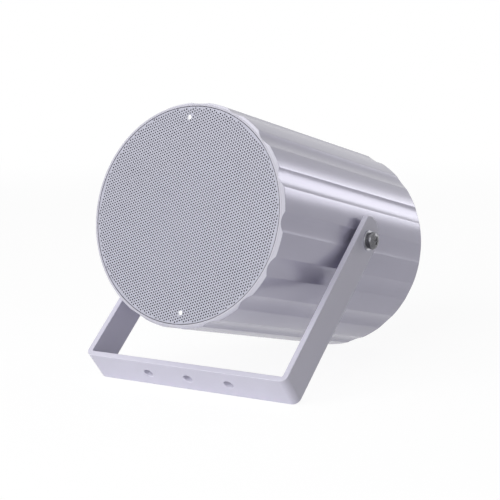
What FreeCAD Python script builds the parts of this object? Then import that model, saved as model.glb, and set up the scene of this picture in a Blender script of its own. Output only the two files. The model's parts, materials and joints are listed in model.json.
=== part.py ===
import FreeCAD, Part
import math
import os

from FreeCAD import Placement, Rotation, Vector

# A sound projector: a round fluted aluminium housing with a perforated front grille, carried at its
# sides by a U bracket. Sizes are in millimetres. The housing is modelled along its own axis: X to the
# right seen from the front, Y from the front face to the rear, Z up, origin at the front face's centre.
# The whole part is then set down as it rests, on the bracket's lower edge and the rear rim.

# Clearances
seat_gap = 0.4
slip_gap = 0.05
hole_gap = 0.2
thread_gap = 0.05

# Housing extrusion
body_length = 206.2
lobe_radius = 76.0
flute_count = 16
flute_depth = 1.3
flute_radius = 24.0
flute_edge_radius = 0.8
end_chamfer = 1.4
end_chamfer_length = 2.6
shell_wall_thickness = 2.7
ledge_width = 1.2
channel_inset = 5.4
channel_wall = 2.0
channel_neck = 5.0
fixing_count = 4
fixing_angle = 45.0

# Pivot and bracket
pivot_behind_middle = 3.0
bracket_angle = 36.3
arm_gap = 2.0
swing_gap = 1.3
strip_width = 25.0
strip_thickness = 4.0
strip_inner_bend = 1.2
strip_edge_chamfer = 0.4
arm_end_radius = 17.0
base_hole_spacing = 33.0
base_hole_radius = 3.5

# Pivot hardware
pivot_screw_radius = 3.0
pivot_head_radius = 6.0
pivot_head_height = 4.2
pivot_screw_length = 20.0
pivot_collar_radius = 4.0
pivot_spacer_radius = 6.0
pivot_seat_radius = 6.4
pivot_seat_depth = 0.2
insert_flange_radius = 5.6
insert_flange_height = 0.8
insert_barrel_radius = 4.5
insert_length = 12.0
insert_bulge_radius = 5.8
insert_bulge_length = 2.4
insert_bulge_offset = 3.1
flat_washer_radius = 7.0
flat_washer_height = 1.2
spring_washer_radius = 5.6
spring_washer_height = 1.6
spring_washer_split = 1.2

# Grille and its cloth, each hexagonal opening taking the place of a patch of fine round ones
grille_recess = 0.3
grille_thickness = 1.0
grille_margin = 2.7
grille_hole_flats = 6.0
grille_hole_pitch = 12.0
grille_turn = 39.0
grille_screw_inset = 7.7
grille_screw_angle = 95.0
grille_screw_radius = 1.25
grille_screw_head_radius = 1.8
grille_screw_head_height = 0.8
grille_screw_length = 6.0
cloth_thickness = 0.4

# Baffle and its screws
baffle_thickness = 6.0
baffle_flare = 3.0
m4_radius = 2.0
m4_head_radius = 3.9
m4_head_height = 2.6
baffle_screw_length = 16.0
driver_gasket_thickness = 1.0

# Driver, every depth counted from the front of its flange
flange_gap = 1.6
flange_thickness = 1.4
flange_width = 15.0
driver_screw_inset = 4.4
driver_screw_length = 7.0
surround_landing_width = 4.4
roll_radius = 3.8
surround_lip_width = 2.2
surround_thickness = 0.7
roll_flats = 4
cone_thickness = 0.9
cone_neck_depth = 19.0
former_radius = 13.1
former_wall = 0.4
former_front = 18.0
former_length = 21.0
winding_thickness = 0.5
winding_length = 5.6
dust_cap_height = 3.6
dust_cap_flat = 8.5
dust_cap_thickness = 0.6
spider_landing_outer = 38.0
spider_landing_inner = 34.0
spider_depth = 22.0
spider_thickness = 0.6
spider_wave = 1.1
spider_waves = 2
basket_bottom = 32.0
basket_bottom_bore = 16.0
window_front = 5.0
window_rear = 18.5
window_angle = 58.0
window_count = 4
magnet_plate_radius = 33.0
magnet_plate_thickness = 5.0
coil_gap = 0.6
magnet_radius = 36.0
magnet_bore = 20.0
magnet_thickness = 12.0
yoke_radius = 33.5
yoke_thickness = 5.0
pole_gap = 0.5
pole_vent = 3.0

# Driver terminals
strip_board_reach = 12.0
strip_board_width = 20.0
strip_board_thickness = 1.5
strip_board_depth = 12.0
lug_spacing = 10.0
lug_width = 4.0
lug_thickness = 0.8
lug_length = 8.0

# Rear cover
rear_recess = 2.8
cover_thickness = 3.0
cover_edge_chamfer = 0.6
rear_gasket_thickness = 1.0
cover_screw_length = 12.0
cover_rib_height = 6.0
cover_rib_width = 13.0
cover_skin = 0.6

# Line transformer, laminations standing on the rear cover
core_width = 48.0
core_height = 40.0
core_stack = 25.0
core_leg = 8.0
transformer_up = 22.0
bobbin_wall = 1.0
bobbin_clearance = 0.3
winding_inset = 1.2
clamp_thickness = 1.2
clamp_width = 18.0
clamp_foot = 13.0
clamp_bend = 0.4
clamp_screw_length = 8.0

# Terminal block
block_inset = 23.6
block_drop = 14.0
block_length = 40.0
block_width = 16.0
block_height = 14.0
block_poles = 4
pole_pitch = 7.0
pole_well_radius = 2.2
pole_well_depth = 6.0
pole_entry_radius = 1.3
pole_entry_depth = 7.0
pole_entry_reach = 7.0
pole_groove_depth = 3.0
pole_groove_width = 1.2
clamp_pin_radius = 1.8
clamp_pin_height = 3.5
m3_radius = 1.5
m3_head_radius = 2.8
m3_head_height = 1.9
m3_head_sink = 2.9

# Leads
lead_radius = 0.8
lead_bend = 5.0
lead_shift = 4.0

# Cable gland
gland_inset = 28.6
gland_flats = 20.0
gland_thread_radius = 8.0
gland_hex_height = 5.0
gland_inner_length = 11.0
gland_neck_radius = 7.4
gland_neck_length = 8.0
gland_bore_radius = 5.2
gland_washer_radius = 11.0
gland_washer_thickness = 1.2
lock_nut_height = 4.0
seal_bore_radius = 3.5
seal_length = 9.0
cap_length = 11.0
cap_mouth_radius = 5.0
cap_end_wall = 2.0
cap_round = 3.0

axis_y = Vector(0, 1, 0)

# Distances from the housing's axis that the values above fix
end_radius = lobe_radius - end_chamfer
bore_radius = lobe_radius - flute_depth - shell_wall_thickness
recess_radius = bore_radius + ledge_width
channel_offset = bore_radius - channel_inset
grille_screw_offset = recess_radius - grille_screw_inset
flange_radius = channel_offset - m4_radius - channel_wall - flange_gap
driver_screw_offset = flange_radius - driver_screw_inset
landing_inner = flange_radius - flange_width
roll_centre = landing_inner + slip_gap - roll_radius
surround_outer = landing_inner + surround_landing_width
baffle_opening = surround_outer - seat_gap
cone_lip_inner = roll_centre - roll_radius - surround_lip_width
seat_plane = lobe_radius - flute_depth - pivot_seat_depth
arm_inner = lobe_radius + arm_gap
bracket_half_width = arm_inner + strip_thickness
block_across = block_inset - channel_offset
block_up = -block_drop
gland_up = gland_inset - channel_offset

# Depths along the housing that the values above fix
pivot_from_front = body_length / 2 + pivot_behind_middle
bracket_length = math.hypot(pivot_from_front, end_radius) + swing_gap + strip_thickness
grille_back = grille_recess + grille_thickness
baffle_front = grille_back + cloth_thickness
front_ledge = baffle_front + baffle_thickness
flange_front = front_ledge + driver_gasket_thickness
cover_back = body_length - rear_recess
cover_front = cover_back - cover_thickness
rear_ledge = cover_front - rear_gasket_thickness
rib_front = cover_front - cover_rib_height
plate_front = flange_front + basket_bottom + flange_thickness
magnet_front = plate_front + magnet_plate_thickness
yoke_front = magnet_front + magnet_thickness


def polar(radius, degrees, depth=0.0):
    angle = math.radians(degrees)
    return Vector(radius * math.cos(angle), depth, radius * math.sin(angle))


def disc(radius, start, length):
    return Part.makeCylinder(radius, length, Vector(0, start, 0), axis_y)


def ring(outer, inner, start, length):
    return disc(outer, start, length).cut(disc(inner, start, length))


def rod(radius, foot, direction, length):
    return Part.makeCylinder(radius, length, foot, direction)


def block(across, depth, up, centre):
    corner = centre - Vector(across / 2, depth / 2, up / 2)
    return Part.makeBox(across, depth, up, corner)


def turned(points):
    # revolves a closed outline of (radius, depth) points round the housing's axis
    corners = [Vector(radius, depth, 0) for radius, depth in points]
    return Part.Face(Part.makePolygon(corners + corners[:1])).revolve(Vector(0, 0, 0), axis_y, 360)


def swung(shape, degrees):
    copy = shape.copy()
    copy.rotate(Vector(0, 0, 0), Vector(0, -1, 0), degrees)
    return copy


def aimed(shape, position, direction):
    # moves a shape modelled along +Y from the origin to a place and direction of its own
    copy = shape.copy()
    copy.Placement = Placement(position, Rotation(axis_y, direction)).multiply(copy.Placement)
    return copy


def fixing_angles():
    return [fixing_angle + 360.0 * i / fixing_count for i in range(fixing_count)]


def joined(shapes):
    whole = shapes[0]
    for shape in shapes[1:]:
        whole = whole.fuse(shape)
    return whole.removeSplitter()


def without(shape, tools):
    return shape.cut(Part.makeCompound(tools)) if tools else shape


def bent_strip(face, width, thickness, bend):
    # a flat strip bent along one of its faces, whose points lie in the XZ plane, its metal on the left
    runs = [(after - before).normalize() for before, after in zip(face, face[1:])]
    sides = [Vector(-run.z, 0, run.x) for run in runs]
    other = [face[0] + sides[0] * thickness]
    face_bends = []
    other_bends = []
    for corner, side, next_side, run in zip(face[1:], sides, sides[1:], runs):
        other.append(corner + (side + next_side) * (thickness / (1 + side.dot(next_side))))
        turns_left = run.dot(next_side) < 0
        face_bends.append(bend + thickness if turns_left else bend)
        other_bends.append(bend if turns_left else bend + thickness)
    other.append(face[-1] + sides[-1] * thickness)
    edges = rounded_path(face, face_bends) + rounded_path(other, other_bends)
    edges += [segment(face[0], other[0]), segment(face[-1], other[-1])]
    strip = Part.Face(Part.Wire(Part.__sortEdges__(edges))).extrude(Vector(0, width, 0))
    strip.translate(Vector(0, -width / 2, 0))
    return strip


def rounded_path(points, bends):
    # straight runs joined by tangent arcs, one radius for each corner
    edges = []
    last = points[0]
    for index in range(1, len(points) - 1):
        corner = points[index]
        back = points[index - 1] - corner
        ahead = points[index + 1] - corner
        half_turn = (math.pi - back.getAngle(ahead)) / 2
        bend = bends[index - 1]
        cut = bend * math.tan(half_turn)
        back.normalize()
        ahead.normalize()
        inward = (back + ahead).normalize()
        middle = corner + inward * (math.hypot(cut, bend) - bend)
        edges.append(segment(last, corner + back * cut))
        edges.append(arc(corner + back * cut, middle, corner + ahead * cut))
        last = corner + ahead * cut
    edges.append(segment(last, points[-1]))
    return edges


def group(shapes):
    return Part.makeCompound(shapes)


def segment(start, end):
    return Part.LineSegment(start, end).toShape()


def arc(start, middle, end):
    return Part.Arc(start, middle, end).toShape()


# Fasteners, modelled with the underside of the head at the origin and the shank along +Y

def cross_recess(head_radius, head_height):
    width = head_radius * 0.28
    depth = head_height * 0.55
    arms = [
        block(head_radius * 1.1, depth, width, Vector(0, depth / 2 - head_height, 0)),
        block(width, depth, head_radius * 1.1, Vector(0, depth / 2 - head_height, 0)),
    ]
    return joined(arms)


def pan_screw(shank_radius, length, head_radius, head_height):
    head = turned([
        (0, -head_height),
        (head_radius * 0.7, -head_height),
        (head_radius, -head_height * 0.45),
        (head_radius, 0),
        (shank_radius, 0),
        (shank_radius, length),
        (0, length),
    ])
    return head.cut(cross_recess(head_radius, head_height))


def hexagon_screw(shank_radius, length, head_radius, head_height):
    head = hexagon(math.sqrt(3) * head_radius, -head_height, head_height)
    return joined([head, disc(shank_radius, 0, length)])


def countersunk_screw(shank_radius, length, head_radius):
    depth = head_radius - shank_radius
    screw = turned([(0, 0), (head_radius, 0), (shank_radius, depth), (shank_radius, length), (0, length)])
    slot = cross_recess(head_radius, depth)
    slot.translate(Vector(0, depth, 0))
    return screw.cut(slot)


def hexagon(flats, start, length):
    corner = flats / math.sqrt(3)
    points = [polar(corner, 60.0 * i + 30, start) for i in range(7)]
    return Part.Face(Part.makePolygon(points)).extrude(Vector(0, length, 0))


# Housing

def flute_corner():
    # the small round where a flute meets its lobe: its two ends and middle, for a flute centred on +X
    flute_centre = lobe_radius - flute_depth + flute_radius
    to_lobe = lobe_radius - flute_edge_radius
    to_flute = flute_radius + flute_edge_radius
    across = (flute_centre**2 + to_lobe**2 - to_flute**2) / (2 * flute_centre)
    centre = Vector(across, 0, math.sqrt(to_lobe**2 - across**2))
    outward = Vector(centre).normalize()
    to_centre = (Vector(flute_centre, 0, 0) - centre).normalize()
    lobe_end = centre + outward * flute_edge_radius
    flute_end = centre + to_centre * flute_edge_radius
    middle = centre + (outward + to_centre).normalize() * flute_edge_radius
    return lobe_end, middle, flute_end


def fluted_face():
    lobe_end, middle, flute_end = flute_corner()
    mirror = [Vector(p.x, 0, -p.z) for p in (lobe_end, middle, flute_end)]
    step = 360.0 / flute_count
    flute_bottom = Vector(lobe_radius - flute_depth, 0, 0)
    one_flute = [
        arc(mirror[0], mirror[1], mirror[2]),
        arc(mirror[2], flute_bottom, flute_end),
        arc(flute_end, middle, lobe_end),
        arc(lobe_end, polar(lobe_radius, step / 2), swung(Part.Vertex(mirror[0]), step).Point),
    ]
    edges = [swung(edge, step * i) for i in range(flute_count) for edge in one_flute]
    return Part.Face(Part.Wire(Part.__sortEdges__(edges)))


def screw_channel():
    outer = m4_radius + channel_wall
    pillar = rod(outer, Vector(channel_offset, 0, 0), axis_y, body_length)
    reach = bore_radius + 0.5 * (lobe_radius - flute_depth - bore_radius) - channel_offset
    neck = block(reach, body_length, channel_neck, Vector(channel_offset + reach / 2, body_length / 2, 0))
    return joined([pillar, neck])


def chamfered_ends():
    # what lies inside the two turned ends, whose slopes run on past the lobes
    outer = lobe_radius + end_chamfer
    run = 2 * end_chamfer_length
    return turned([
        (0, 0),
        (end_radius, 0),
        (outer, run),
        (outer, body_length - run),
        (end_radius, body_length),
        (0, body_length),
    ])


def body_shell():
    walls = fluted_face().extrude(Vector(0, body_length, 0)).cut(disc(bore_radius, 0, body_length))
    channels = [swung(screw_channel(), angle) for angle in fixing_angles()]
    shell = joined([walls] + channels).common(chamfered_ends())
    rear_depth = body_length - rear_ledge
    tools = [disc(recess_radius, 0, front_ledge), disc(recess_radius, rear_ledge, rear_depth)]
    tools += [rod(m4_radius, polar(channel_offset, a), axis_y, body_length) for a in fixing_angles()]
    for side in (1, -1):
        out = Vector(side, 0, 0)
        seat = Vector(side * seat_plane, pivot_from_front, 0)
        tools.append(rod(pivot_seat_radius, seat, out, lobe_radius))
        tools.append(rod(insert_barrel_radius + slip_gap, seat, out * -1, bore_radius))
    return without(shell, tools)


# Front end

def grille_screw_places():
    return [polar(grille_screw_offset, grille_screw_angle + 180 * i) for i in range(2)]


def lattice_places(pitch, reach):
    # centres of a triangular lattice, turned by grille_turn, that lie within reach of the axis
    rows = int(reach / (pitch * math.sqrt(0.75))) + 1
    columns = int(reach / pitch) + rows + 1
    places = []
    for row in range(-rows, rows + 1):
        for column in range(-columns, columns + 1):
            place = Vector((column + row / 2) * pitch, 0, row * pitch * math.sqrt(0.75))
            if place.Length <= reach:
                places.append(swung(Part.Vertex(place), grille_turn).Point)
    return places


def grille():
    radius = recess_radius - seat_gap
    plate = disc(radius, grille_recess, grille_thickness)
    hole_reach = grille_hole_flats / math.sqrt(3)
    keep_off = grille_screw_head_radius + hole_reach + hole_gap
    opening = swung(hexagon(grille_hole_flats, grille_recess, grille_thickness), grille_turn)
    tools = []
    for place in lattice_places(grille_hole_pitch, radius - grille_margin - hole_reach):
        if min(place.distanceToPoint(screw) for screw in grille_screw_places()) > keep_off:
            tools.append(opening.translated(place))
    tools += [
        rod(grille_screw_radius + hole_gap, place + Vector(0, grille_recess, 0), axis_y, grille_thickness)
        for place in grille_screw_places()
    ]
    return without(plate, tools)


def grille_cloth():
    cloth = disc(recess_radius - seat_gap, grille_back, cloth_thickness)
    holes = [
        rod(grille_screw_radius + hole_gap, place + Vector(0, grille_back, 0), axis_y, cloth_thickness)
        for place in grille_screw_places()
    ]
    return without(cloth, holes)


def grille_screws():
    screw = pan_screw(grille_screw_radius - thread_gap, grille_screw_length,
                      grille_screw_head_radius, grille_screw_head_height)
    return group([aimed(screw, p + Vector(0, grille_recess, 0), axis_y) for p in grille_screw_places()])


def front_baffle():
    radius = recess_radius - seat_gap
    baffle = turned([
        (baffle_opening + baffle_flare, baffle_front),
        (radius, baffle_front),
        (radius, front_ledge),
        (baffle_opening, front_ledge),
    ])
    head_depth = m4_head_radius - m4_radius
    shank = m4_radius + hole_gap
    tools = []
    for angle in fixing_angles():
        countersink = turned([
            (0, baffle_front),
            (m4_head_radius + hole_gap, baffle_front),
            (shank, baffle_front + head_depth),
            (shank, front_ledge),
            (0, front_ledge),
        ])
        tools.append(aimed(countersink, polar(channel_offset, angle), axis_y))
        tools.append(rod(m4_radius, polar(driver_screw_offset, angle, front_ledge - driver_pilot_depth()),
                         axis_y, driver_pilot_depth()))
    for place in grille_screw_places():
        foot = place + Vector(0, baffle_front, 0)
        tools.append(rod(grille_screw_radius, foot, axis_y, baffle_thickness))
    return without(baffle, tools)


def driver_pilot_depth():
    return driver_screw_length - flange_thickness - driver_gasket_thickness + hole_gap


def baffle_screws():
    screw = countersunk_screw(m4_radius - thread_gap, baffle_screw_length, m4_head_radius)
    return group([aimed(screw, polar(channel_offset, a, baffle_front), axis_y) for a in fixing_angles()])


# Driver

def driver_gasket():
    pad = ring(flange_radius, surround_outer + seat_gap, front_ledge, driver_gasket_thickness)
    holes = [rod(m4_radius + hole_gap, polar(driver_screw_offset, a, front_ledge), axis_y,
                 driver_gasket_thickness) for a in fixing_angles()]
    return without(pad, holes)


def basket_path(wall):
    # from the flange's rim down to the bottom plate, on the front face or one wall behind it
    path = [
        (flange_radius, wall),
        (landing_inner + wall, wall),
        (spider_landing_outer + wall, spider_depth + wall),
        (spider_landing_inner + wall, spider_depth + wall),
        (spider_landing_inner + wall, basket_bottom + wall),
        (basket_bottom_bore, basket_bottom + wall),
    ]
    return [(radius, flange_front + depth) for radius, depth in path]


def driver_basket():
    basket = turned(basket_path(0) + basket_path(flange_thickness)[::-1])
    inner = spider_landing_outer - 1
    outer = landing_inner + flange_thickness + 1
    corners = [(inner, window_front), (outer, window_front), (outer, window_rear), (inner, window_rear)]
    points = [Vector(radius, flange_front + depth, 0) for radius, depth in corners]
    window = Part.Face(Part.makePolygon(points + points[:1])).revolve(Vector(0, 0, 0), axis_y, window_angle)
    first = 180.0 / window_count + window_angle / 2
    tools = [swung(window, first + 360.0 * i / window_count) for i in range(window_count)]
    tools += [rod(m4_radius + hole_gap, polar(driver_screw_offset, a, flange_front), axis_y,
                  flange_thickness) for a in fixing_angles()]
    return without(basket, tools)


def driver_screws():
    screw = hexagon_screw(m4_radius - thread_gap, driver_screw_length, m4_head_radius, m4_head_height)
    seat = flange_front + flange_thickness
    return group([aimed(screw, polar(driver_screw_offset, a, seat), axis_y * -1) for a in fixing_angles()])


def roll_points(radius, depth):
    # the half roll's outline in flats, from its outer foot to its inner one
    angles = [math.pi * i / roll_flats for i in range(roll_flats + 1)]
    return [(roll_centre + radius * math.cos(a), depth - radius * math.sin(a)) for a in angles]


def surround():
    front = flange_front - surround_thickness
    inner_roll = roll_radius - surround_thickness
    top = [(surround_outer, front)] + roll_points(roll_radius, front) + [(cone_lip_inner, front)]
    under = [(cone_lip_inner, flange_front), (roll_centre - inner_roll, flange_front)]
    under += roll_points(inner_roll, front)[::-1]
    under += [(roll_centre + inner_roll, flange_front), (surround_outer, flange_front)]
    return turned(top + under)


def cone():
    # a lip under the surround, then a straight side down to the coil former
    top = [
        (roll_centre - roll_radius + surround_thickness, flange_front),
        (cone_lip_inner, flange_front),
        (former_radius, flange_front + cone_neck_depth),
    ]
    return turned(top + [(radius, depth + cone_thickness) for radius, depth in top[::-1]])


def dust_cap():
    # a shallow pressed cup that closes the front end of the coil former
    rim = flange_front + former_front
    top = rim - dust_cap_height
    slope = (former_radius - dust_cap_flat) / dust_cap_height
    return turned([
        (0, top),
        (dust_cap_flat, top),
        (former_radius, rim),
        (former_radius - dust_cap_thickness * slope, rim),
        (dust_cap_flat, top + dust_cap_thickness),
        (0, top + dust_cap_thickness),
    ])


def coil_former():
    return ring(former_radius, former_radius - former_wall, flange_front + former_front, former_length)


def coil_winding():
    rear = flange_front + former_front + former_length
    return ring(former_radius + winding_thickness, former_radius, rear - winding_length, winding_length)


def spider_path(depth):
    # folds between the former and the landing, at one depth
    reach = spider_landing_outer - seat_gap
    flat = reach - spider_landing_inner
    start = former_radius + flat
    pitch = (spider_landing_inner - start) / (2 * spider_waves)
    path = [(former_radius, depth), (start, depth)]
    for i in range(2 * spider_waves):
        side = -1 if i % 2 else 1
        path.append((start + pitch * (i + 0.5), depth + side * spider_wave))
    return path + [(spider_landing_inner, depth), (reach, depth)]


def spider():
    back = flange_front + spider_depth
    return turned(spider_path(back - spider_thickness) + spider_path(back)[::-1])


def top_plate():
    bore = former_radius + winding_thickness + coil_gap
    return ring(magnet_plate_radius, bore, plate_front, magnet_plate_thickness)


def ring_magnet():
    return ring(magnet_radius, magnet_bore, magnet_front, magnet_thickness)


def pole_yoke():
    pole = former_radius - former_wall - pole_gap
    rear = yoke_front + yoke_thickness
    return turned([
        (pole_vent, plate_front),
        (pole, plate_front),
        (pole, yoke_front),
        (yoke_radius, yoke_front),
        (yoke_radius, rear),
        (pole_vent, rear),
    ])


def board_inner():
    # the basket's outer radius at the depth of the terminal strip
    run = (strip_board_depth - flange_thickness) / spider_depth
    return landing_inner + flange_thickness - run * (landing_inner - spider_landing_outer)


def terminal_strip():
    # the board's inner edge follows the basket's wall, which the basket's filled form cuts away
    overlap = 2.0
    centre = Vector(0, flange_front + strip_board_depth + strip_board_thickness / 2,
                    board_inner() + (strip_board_reach - overlap) / 2)
    board = block(strip_board_width, strip_board_thickness, strip_board_reach + overlap, centre)
    back = basket_path(flange_thickness)
    return board.cut(turned([(0, back[0][1])] + back + [(0, back[-1][1])]))


def lug_place(side):
    up = board_inner() + strip_board_reach / 2
    return Vector(side * lug_spacing / 2, flange_front + strip_board_depth + strip_board_thickness, up)


def solder_lugs():
    half = Vector(0, lug_length / 2, 0)
    return group([block(lug_width, lug_length, lug_thickness, lug_place(s) + half) for s in (-1, 1)])


# Rear end

def cover_screw_hole(angle):
    return rod(m4_radius + hole_gap, polar(channel_offset, angle, cover_front), axis_y, cover_thickness)


def clamp_side():
    # how far the strap's outer face stands from the core's middle
    return core_width / 2 + seat_gap + clamp_thickness


def transformer_foot(side):
    return Vector(side * (clamp_side() + clamp_foot / 2), rib_front, transformer_up)


def block_fixing(end):
    return Vector(block_across, cover_front, block_up + end * (block_length / 2 - 1.3 * m3_head_radius))


def rear_cover():
    radius = recess_radius - seat_gap
    plate = turned([
        (0, cover_front),
        (radius, cover_front),
        (radius, cover_back - cover_edge_chamfer),
        (radius - cover_edge_chamfer, cover_back),
        (0, cover_back),
    ])
    rib_length = 2 * (transformer_foot(1).x + clamp_foot / 2)
    rib = block(rib_length, cover_rib_height, cover_rib_width,
                Vector(0, cover_front - cover_rib_height / 2, transformer_up))
    tools = [cover_screw_hole(angle) for angle in fixing_angles()]
    tools += [rod(m4_radius, transformer_foot(side), axis_y, clamp_screw_length) for side in (1, -1)]
    tools += [rod(m3_radius, block_fixing(end), axis_y, cover_thickness - cover_skin) for end in (1, -1)]
    tools.append(rod(gland_thread_radius + hole_gap, Vector(0, cover_front, gland_up), axis_y,
                     cover_thickness))
    return without(joined([plate, rib]), tools)


def rear_gasket():
    # a flat ring that lies on the ledge and on the ends of the screw channels
    inner = channel_offset - m4_radius - channel_wall
    pad = ring(recess_radius - seat_gap, inner, rear_ledge, rear_gasket_thickness)
    holes = [rod(m4_radius + hole_gap, polar(channel_offset, a, rear_ledge), axis_y,
                 rear_gasket_thickness) for a in fixing_angles()]
    return without(pad, holes)


def rear_cover_screws():
    screw = pan_screw(m4_radius - thread_gap, cover_screw_length, m4_head_radius, m4_head_height)
    return group([aimed(screw, polar(channel_offset, a, cover_back), axis_y * -1) for a in fixing_angles()])


# Line transformer

def core_centre():
    return Vector(0, rib_front - core_height / 2, transformer_up)


def window_width():
    return core_width / 2 - 2 * core_leg


def transformer_core():
    core = block(core_width, core_height, core_stack, core_centre())
    window = core_height - 2 * core_leg
    shift = core_leg + window_width() / 2
    windows = [block(window_width(), window, core_stack, core_centre() + Vector(side * shift, 0, 0))
               for side in (1, -1)]
    return without(core, windows)


def bobbin_outer():
    return core_leg + window_width() - bobbin_clearance, core_stack / 2 + window_width() - bobbin_clearance


def transformer_bobbin():
    across, up = bobbin_outer()
    length = core_height - 2 * core_leg - 2 * bobbin_clearance
    leg_across = core_leg + bobbin_clearance
    leg_up = core_stack / 2 + bobbin_clearance
    tube = block(2 * (leg_across + bobbin_wall), length, 2 * (leg_up + bobbin_wall), core_centre())
    ends = []
    for end in (1, -1):
        shift = Vector(0, end * (length - bobbin_wall) / 2, 0)
        ends.append(block(2 * across, bobbin_wall, 2 * up, core_centre() + shift))
    return joined([tube] + ends).cut(block(2 * leg_across, core_height, 2 * leg_up, core_centre()))


def transformer_winding():
    across, up = bobbin_outer()
    length = core_height - 2 * core_leg - 2 * bobbin_clearance - 2 * bobbin_wall
    inner_across = core_leg + bobbin_clearance + bobbin_wall
    inner_up = core_stack / 2 + bobbin_clearance + bobbin_wall
    bulk = block(2 * (across - winding_inset), length, 2 * (up - winding_inset), core_centre())
    upright = [edge for edge in bulk.Edges if abs(edge.tangentAt(edge.FirstParameter).y) > 0.9]
    bulk = bulk.makeFillet(winding_thickness * 4, upright)
    return bulk.cut(block(2 * inner_across, length, 2 * inner_up, core_centre()))


def transformer_clamp():
    # a strap over the core with a foot on each side, bent in one plane and then laid along the axis
    side = clamp_side()
    top = core_height + clamp_thickness
    face = [
        Vector(side + clamp_foot, 0, clamp_thickness),
        Vector(side, 0, clamp_thickness),
        Vector(side, 0, top),
        Vector(-side, 0, top),
        Vector(-side, 0, clamp_thickness),
        Vector(-side - clamp_foot, 0, clamp_thickness),
    ]
    clamp = bent_strip(face, clamp_width, clamp_thickness, clamp_bend)
    clamp.rotate(Vector(0, 0, 0), Vector(1, 0, 0), 90)
    clamp.translate(Vector(0, rib_front, transformer_up))
    holes = [rod(m4_radius + hole_gap, transformer_foot(s) - axis_y * clamp_thickness, axis_y,
                 clamp_thickness) for s in (1, -1)]
    return without(clamp, holes)


def transformer_screws():
    screw = hexagon_screw(m4_radius - thread_gap, clamp_screw_length, m4_head_radius, m4_head_height)
    seat = axis_y * clamp_thickness
    return group([aimed(screw, transformer_foot(s) - seat, axis_y) for s in (1, -1)])


# Leads

def lead(points):
    # eight flats round, swept along straight runs and arcs
    path = Part.Wire(rounded_path(points, [lead_bend] * (len(points) - 2)))
    outline = Part.makePolygon([polar(lead_radius, 45.0 * i) for i in range(9)])
    section = aimed(outline, points[0], points[1] - points[0])
    return path.makePipeShell([Part.Wire(section.Edges)], True, False)


def driver_lead(side):
    # straight back from the lug, then down on to the winding
    tail = lug_place(side) + Vector(0, lug_length, 0)
    corner = Vector(tail.x, core_centre().y, tail.z)
    winding_top = transformer_up + bobbin_outer()[1] - winding_inset
    return lead([tail, corner, Vector(corner.x, corner.y, winding_top)])


def driver_leads():
    return group([driver_lead(side) for side in (-1, 1)])


def block_pole(index):
    up = block_up + (index - (block_poles - 1) / 2) * pole_pitch
    return Vector(block_across, cover_front - block_height, up)


def pole_mouth(index):
    return block_pole(index) + Vector(block_width / 2, pole_entry_depth, 0)


def input_lead(index, across):
    # out of the block, forward to the winding's middle and up to its underside
    mouth = pole_mouth(index)
    winding_under = transformer_up - bobbin_outer()[1] + winding_inset
    turn = Vector(across, mouth.y, mouth.z)
    below = Vector(across, core_centre().y, mouth.z)
    return lead([mouth - Vector(pole_entry_reach, 0, 0), turn, below, Vector(across, below.y, winding_under)])


def input_leads():
    return group([input_lead(index, across) for index, across in ((1, -lead_shift), (2, lead_shift))])


# Terminal block

def terminal_block():
    centre = Vector(block_across, cover_front - block_height / 2, block_up)
    body = block(block_width, block_height, block_length, centre)
    tools = []
    for index in range(block_poles):
        tools.append(rod(pole_well_radius, block_pole(index), axis_y, pole_well_depth))
        tools.append(rod(pole_entry_radius, pole_mouth(index), Vector(-1, 0, 0), pole_entry_reach))
    for index in range(block_poles - 1):
        groove = (block_pole(index) + block_pole(index + 1)) * 0.5 + Vector(0, pole_groove_depth / 2, 0)
        tools.append(block(block_width, pole_groove_depth, pole_groove_width, groove))
    for end in (1, -1):
        top = block_fixing(end) - Vector(0, block_height, 0)
        tools.append(rod(m3_radius + hole_gap, top, axis_y, block_height))
        tools.append(rod(m3_head_radius + hole_gap, top, axis_y, m3_head_sink))
    return without(body, tools)


def terminal_clamp_screws():
    pins = []
    for index in range(block_poles):
        foot = block_pole(index) + Vector(0, pole_well_depth, 0)
        pin = rod(clamp_pin_radius, foot, axis_y * -1, clamp_pin_height)
        slot = block(2 * clamp_pin_radius, 1.0, 0.7, foot - Vector(0, clamp_pin_height - 0.5, 0))
        pins.append(pin.cut(slot))
    return group(pins)


def terminal_block_screws():
    reach = block_height - m3_head_sink + cover_thickness - cover_skin - hole_gap
    screw = pan_screw(m3_radius - thread_gap, reach, m3_head_radius, m3_head_height)
    seat = Vector(0, m3_head_sink - block_height, 0)
    return group([aimed(screw, block_fixing(end) + seat, axis_y) for end in (1, -1)])


# Cable gland, on an axis parallel to the housing's

def gland_at(shape):
    shape.translate(Vector(0, 0, gland_up))
    return shape


gland_hex_start = cover_back + gland_washer_thickness
gland_neck_start = gland_hex_start + gland_hex_height


def gland_body():
    inner_end = cover_front - (gland_inner_length - cover_thickness)
    shank = disc(gland_thread_radius, inner_end, gland_hex_start - inner_end)
    neck = disc(gland_neck_radius, gland_neck_start, gland_neck_length)
    body = joined([shank, hexagon(gland_flats, gland_hex_start, gland_hex_height), neck])
    return gland_at(body.cut(disc(gland_bore_radius, inner_end, body_length)))


def gland_washer():
    return gland_at(ring(gland_washer_radius, gland_thread_radius + hole_gap, cover_back,
                         gland_washer_thickness))


def gland_lock_nut():
    nut = hexagon(gland_flats, cover_front - lock_nut_height, lock_nut_height)
    return gland_at(nut.cut(disc(gland_thread_radius + thread_gap, 0, body_length)))


def gland_seal():
    end = gland_neck_start + hole_gap + cap_length - cap_end_wall
    return gland_at(ring(gland_bore_radius - thread_gap, seal_bore_radius, end - seal_length, seal_length))


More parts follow.
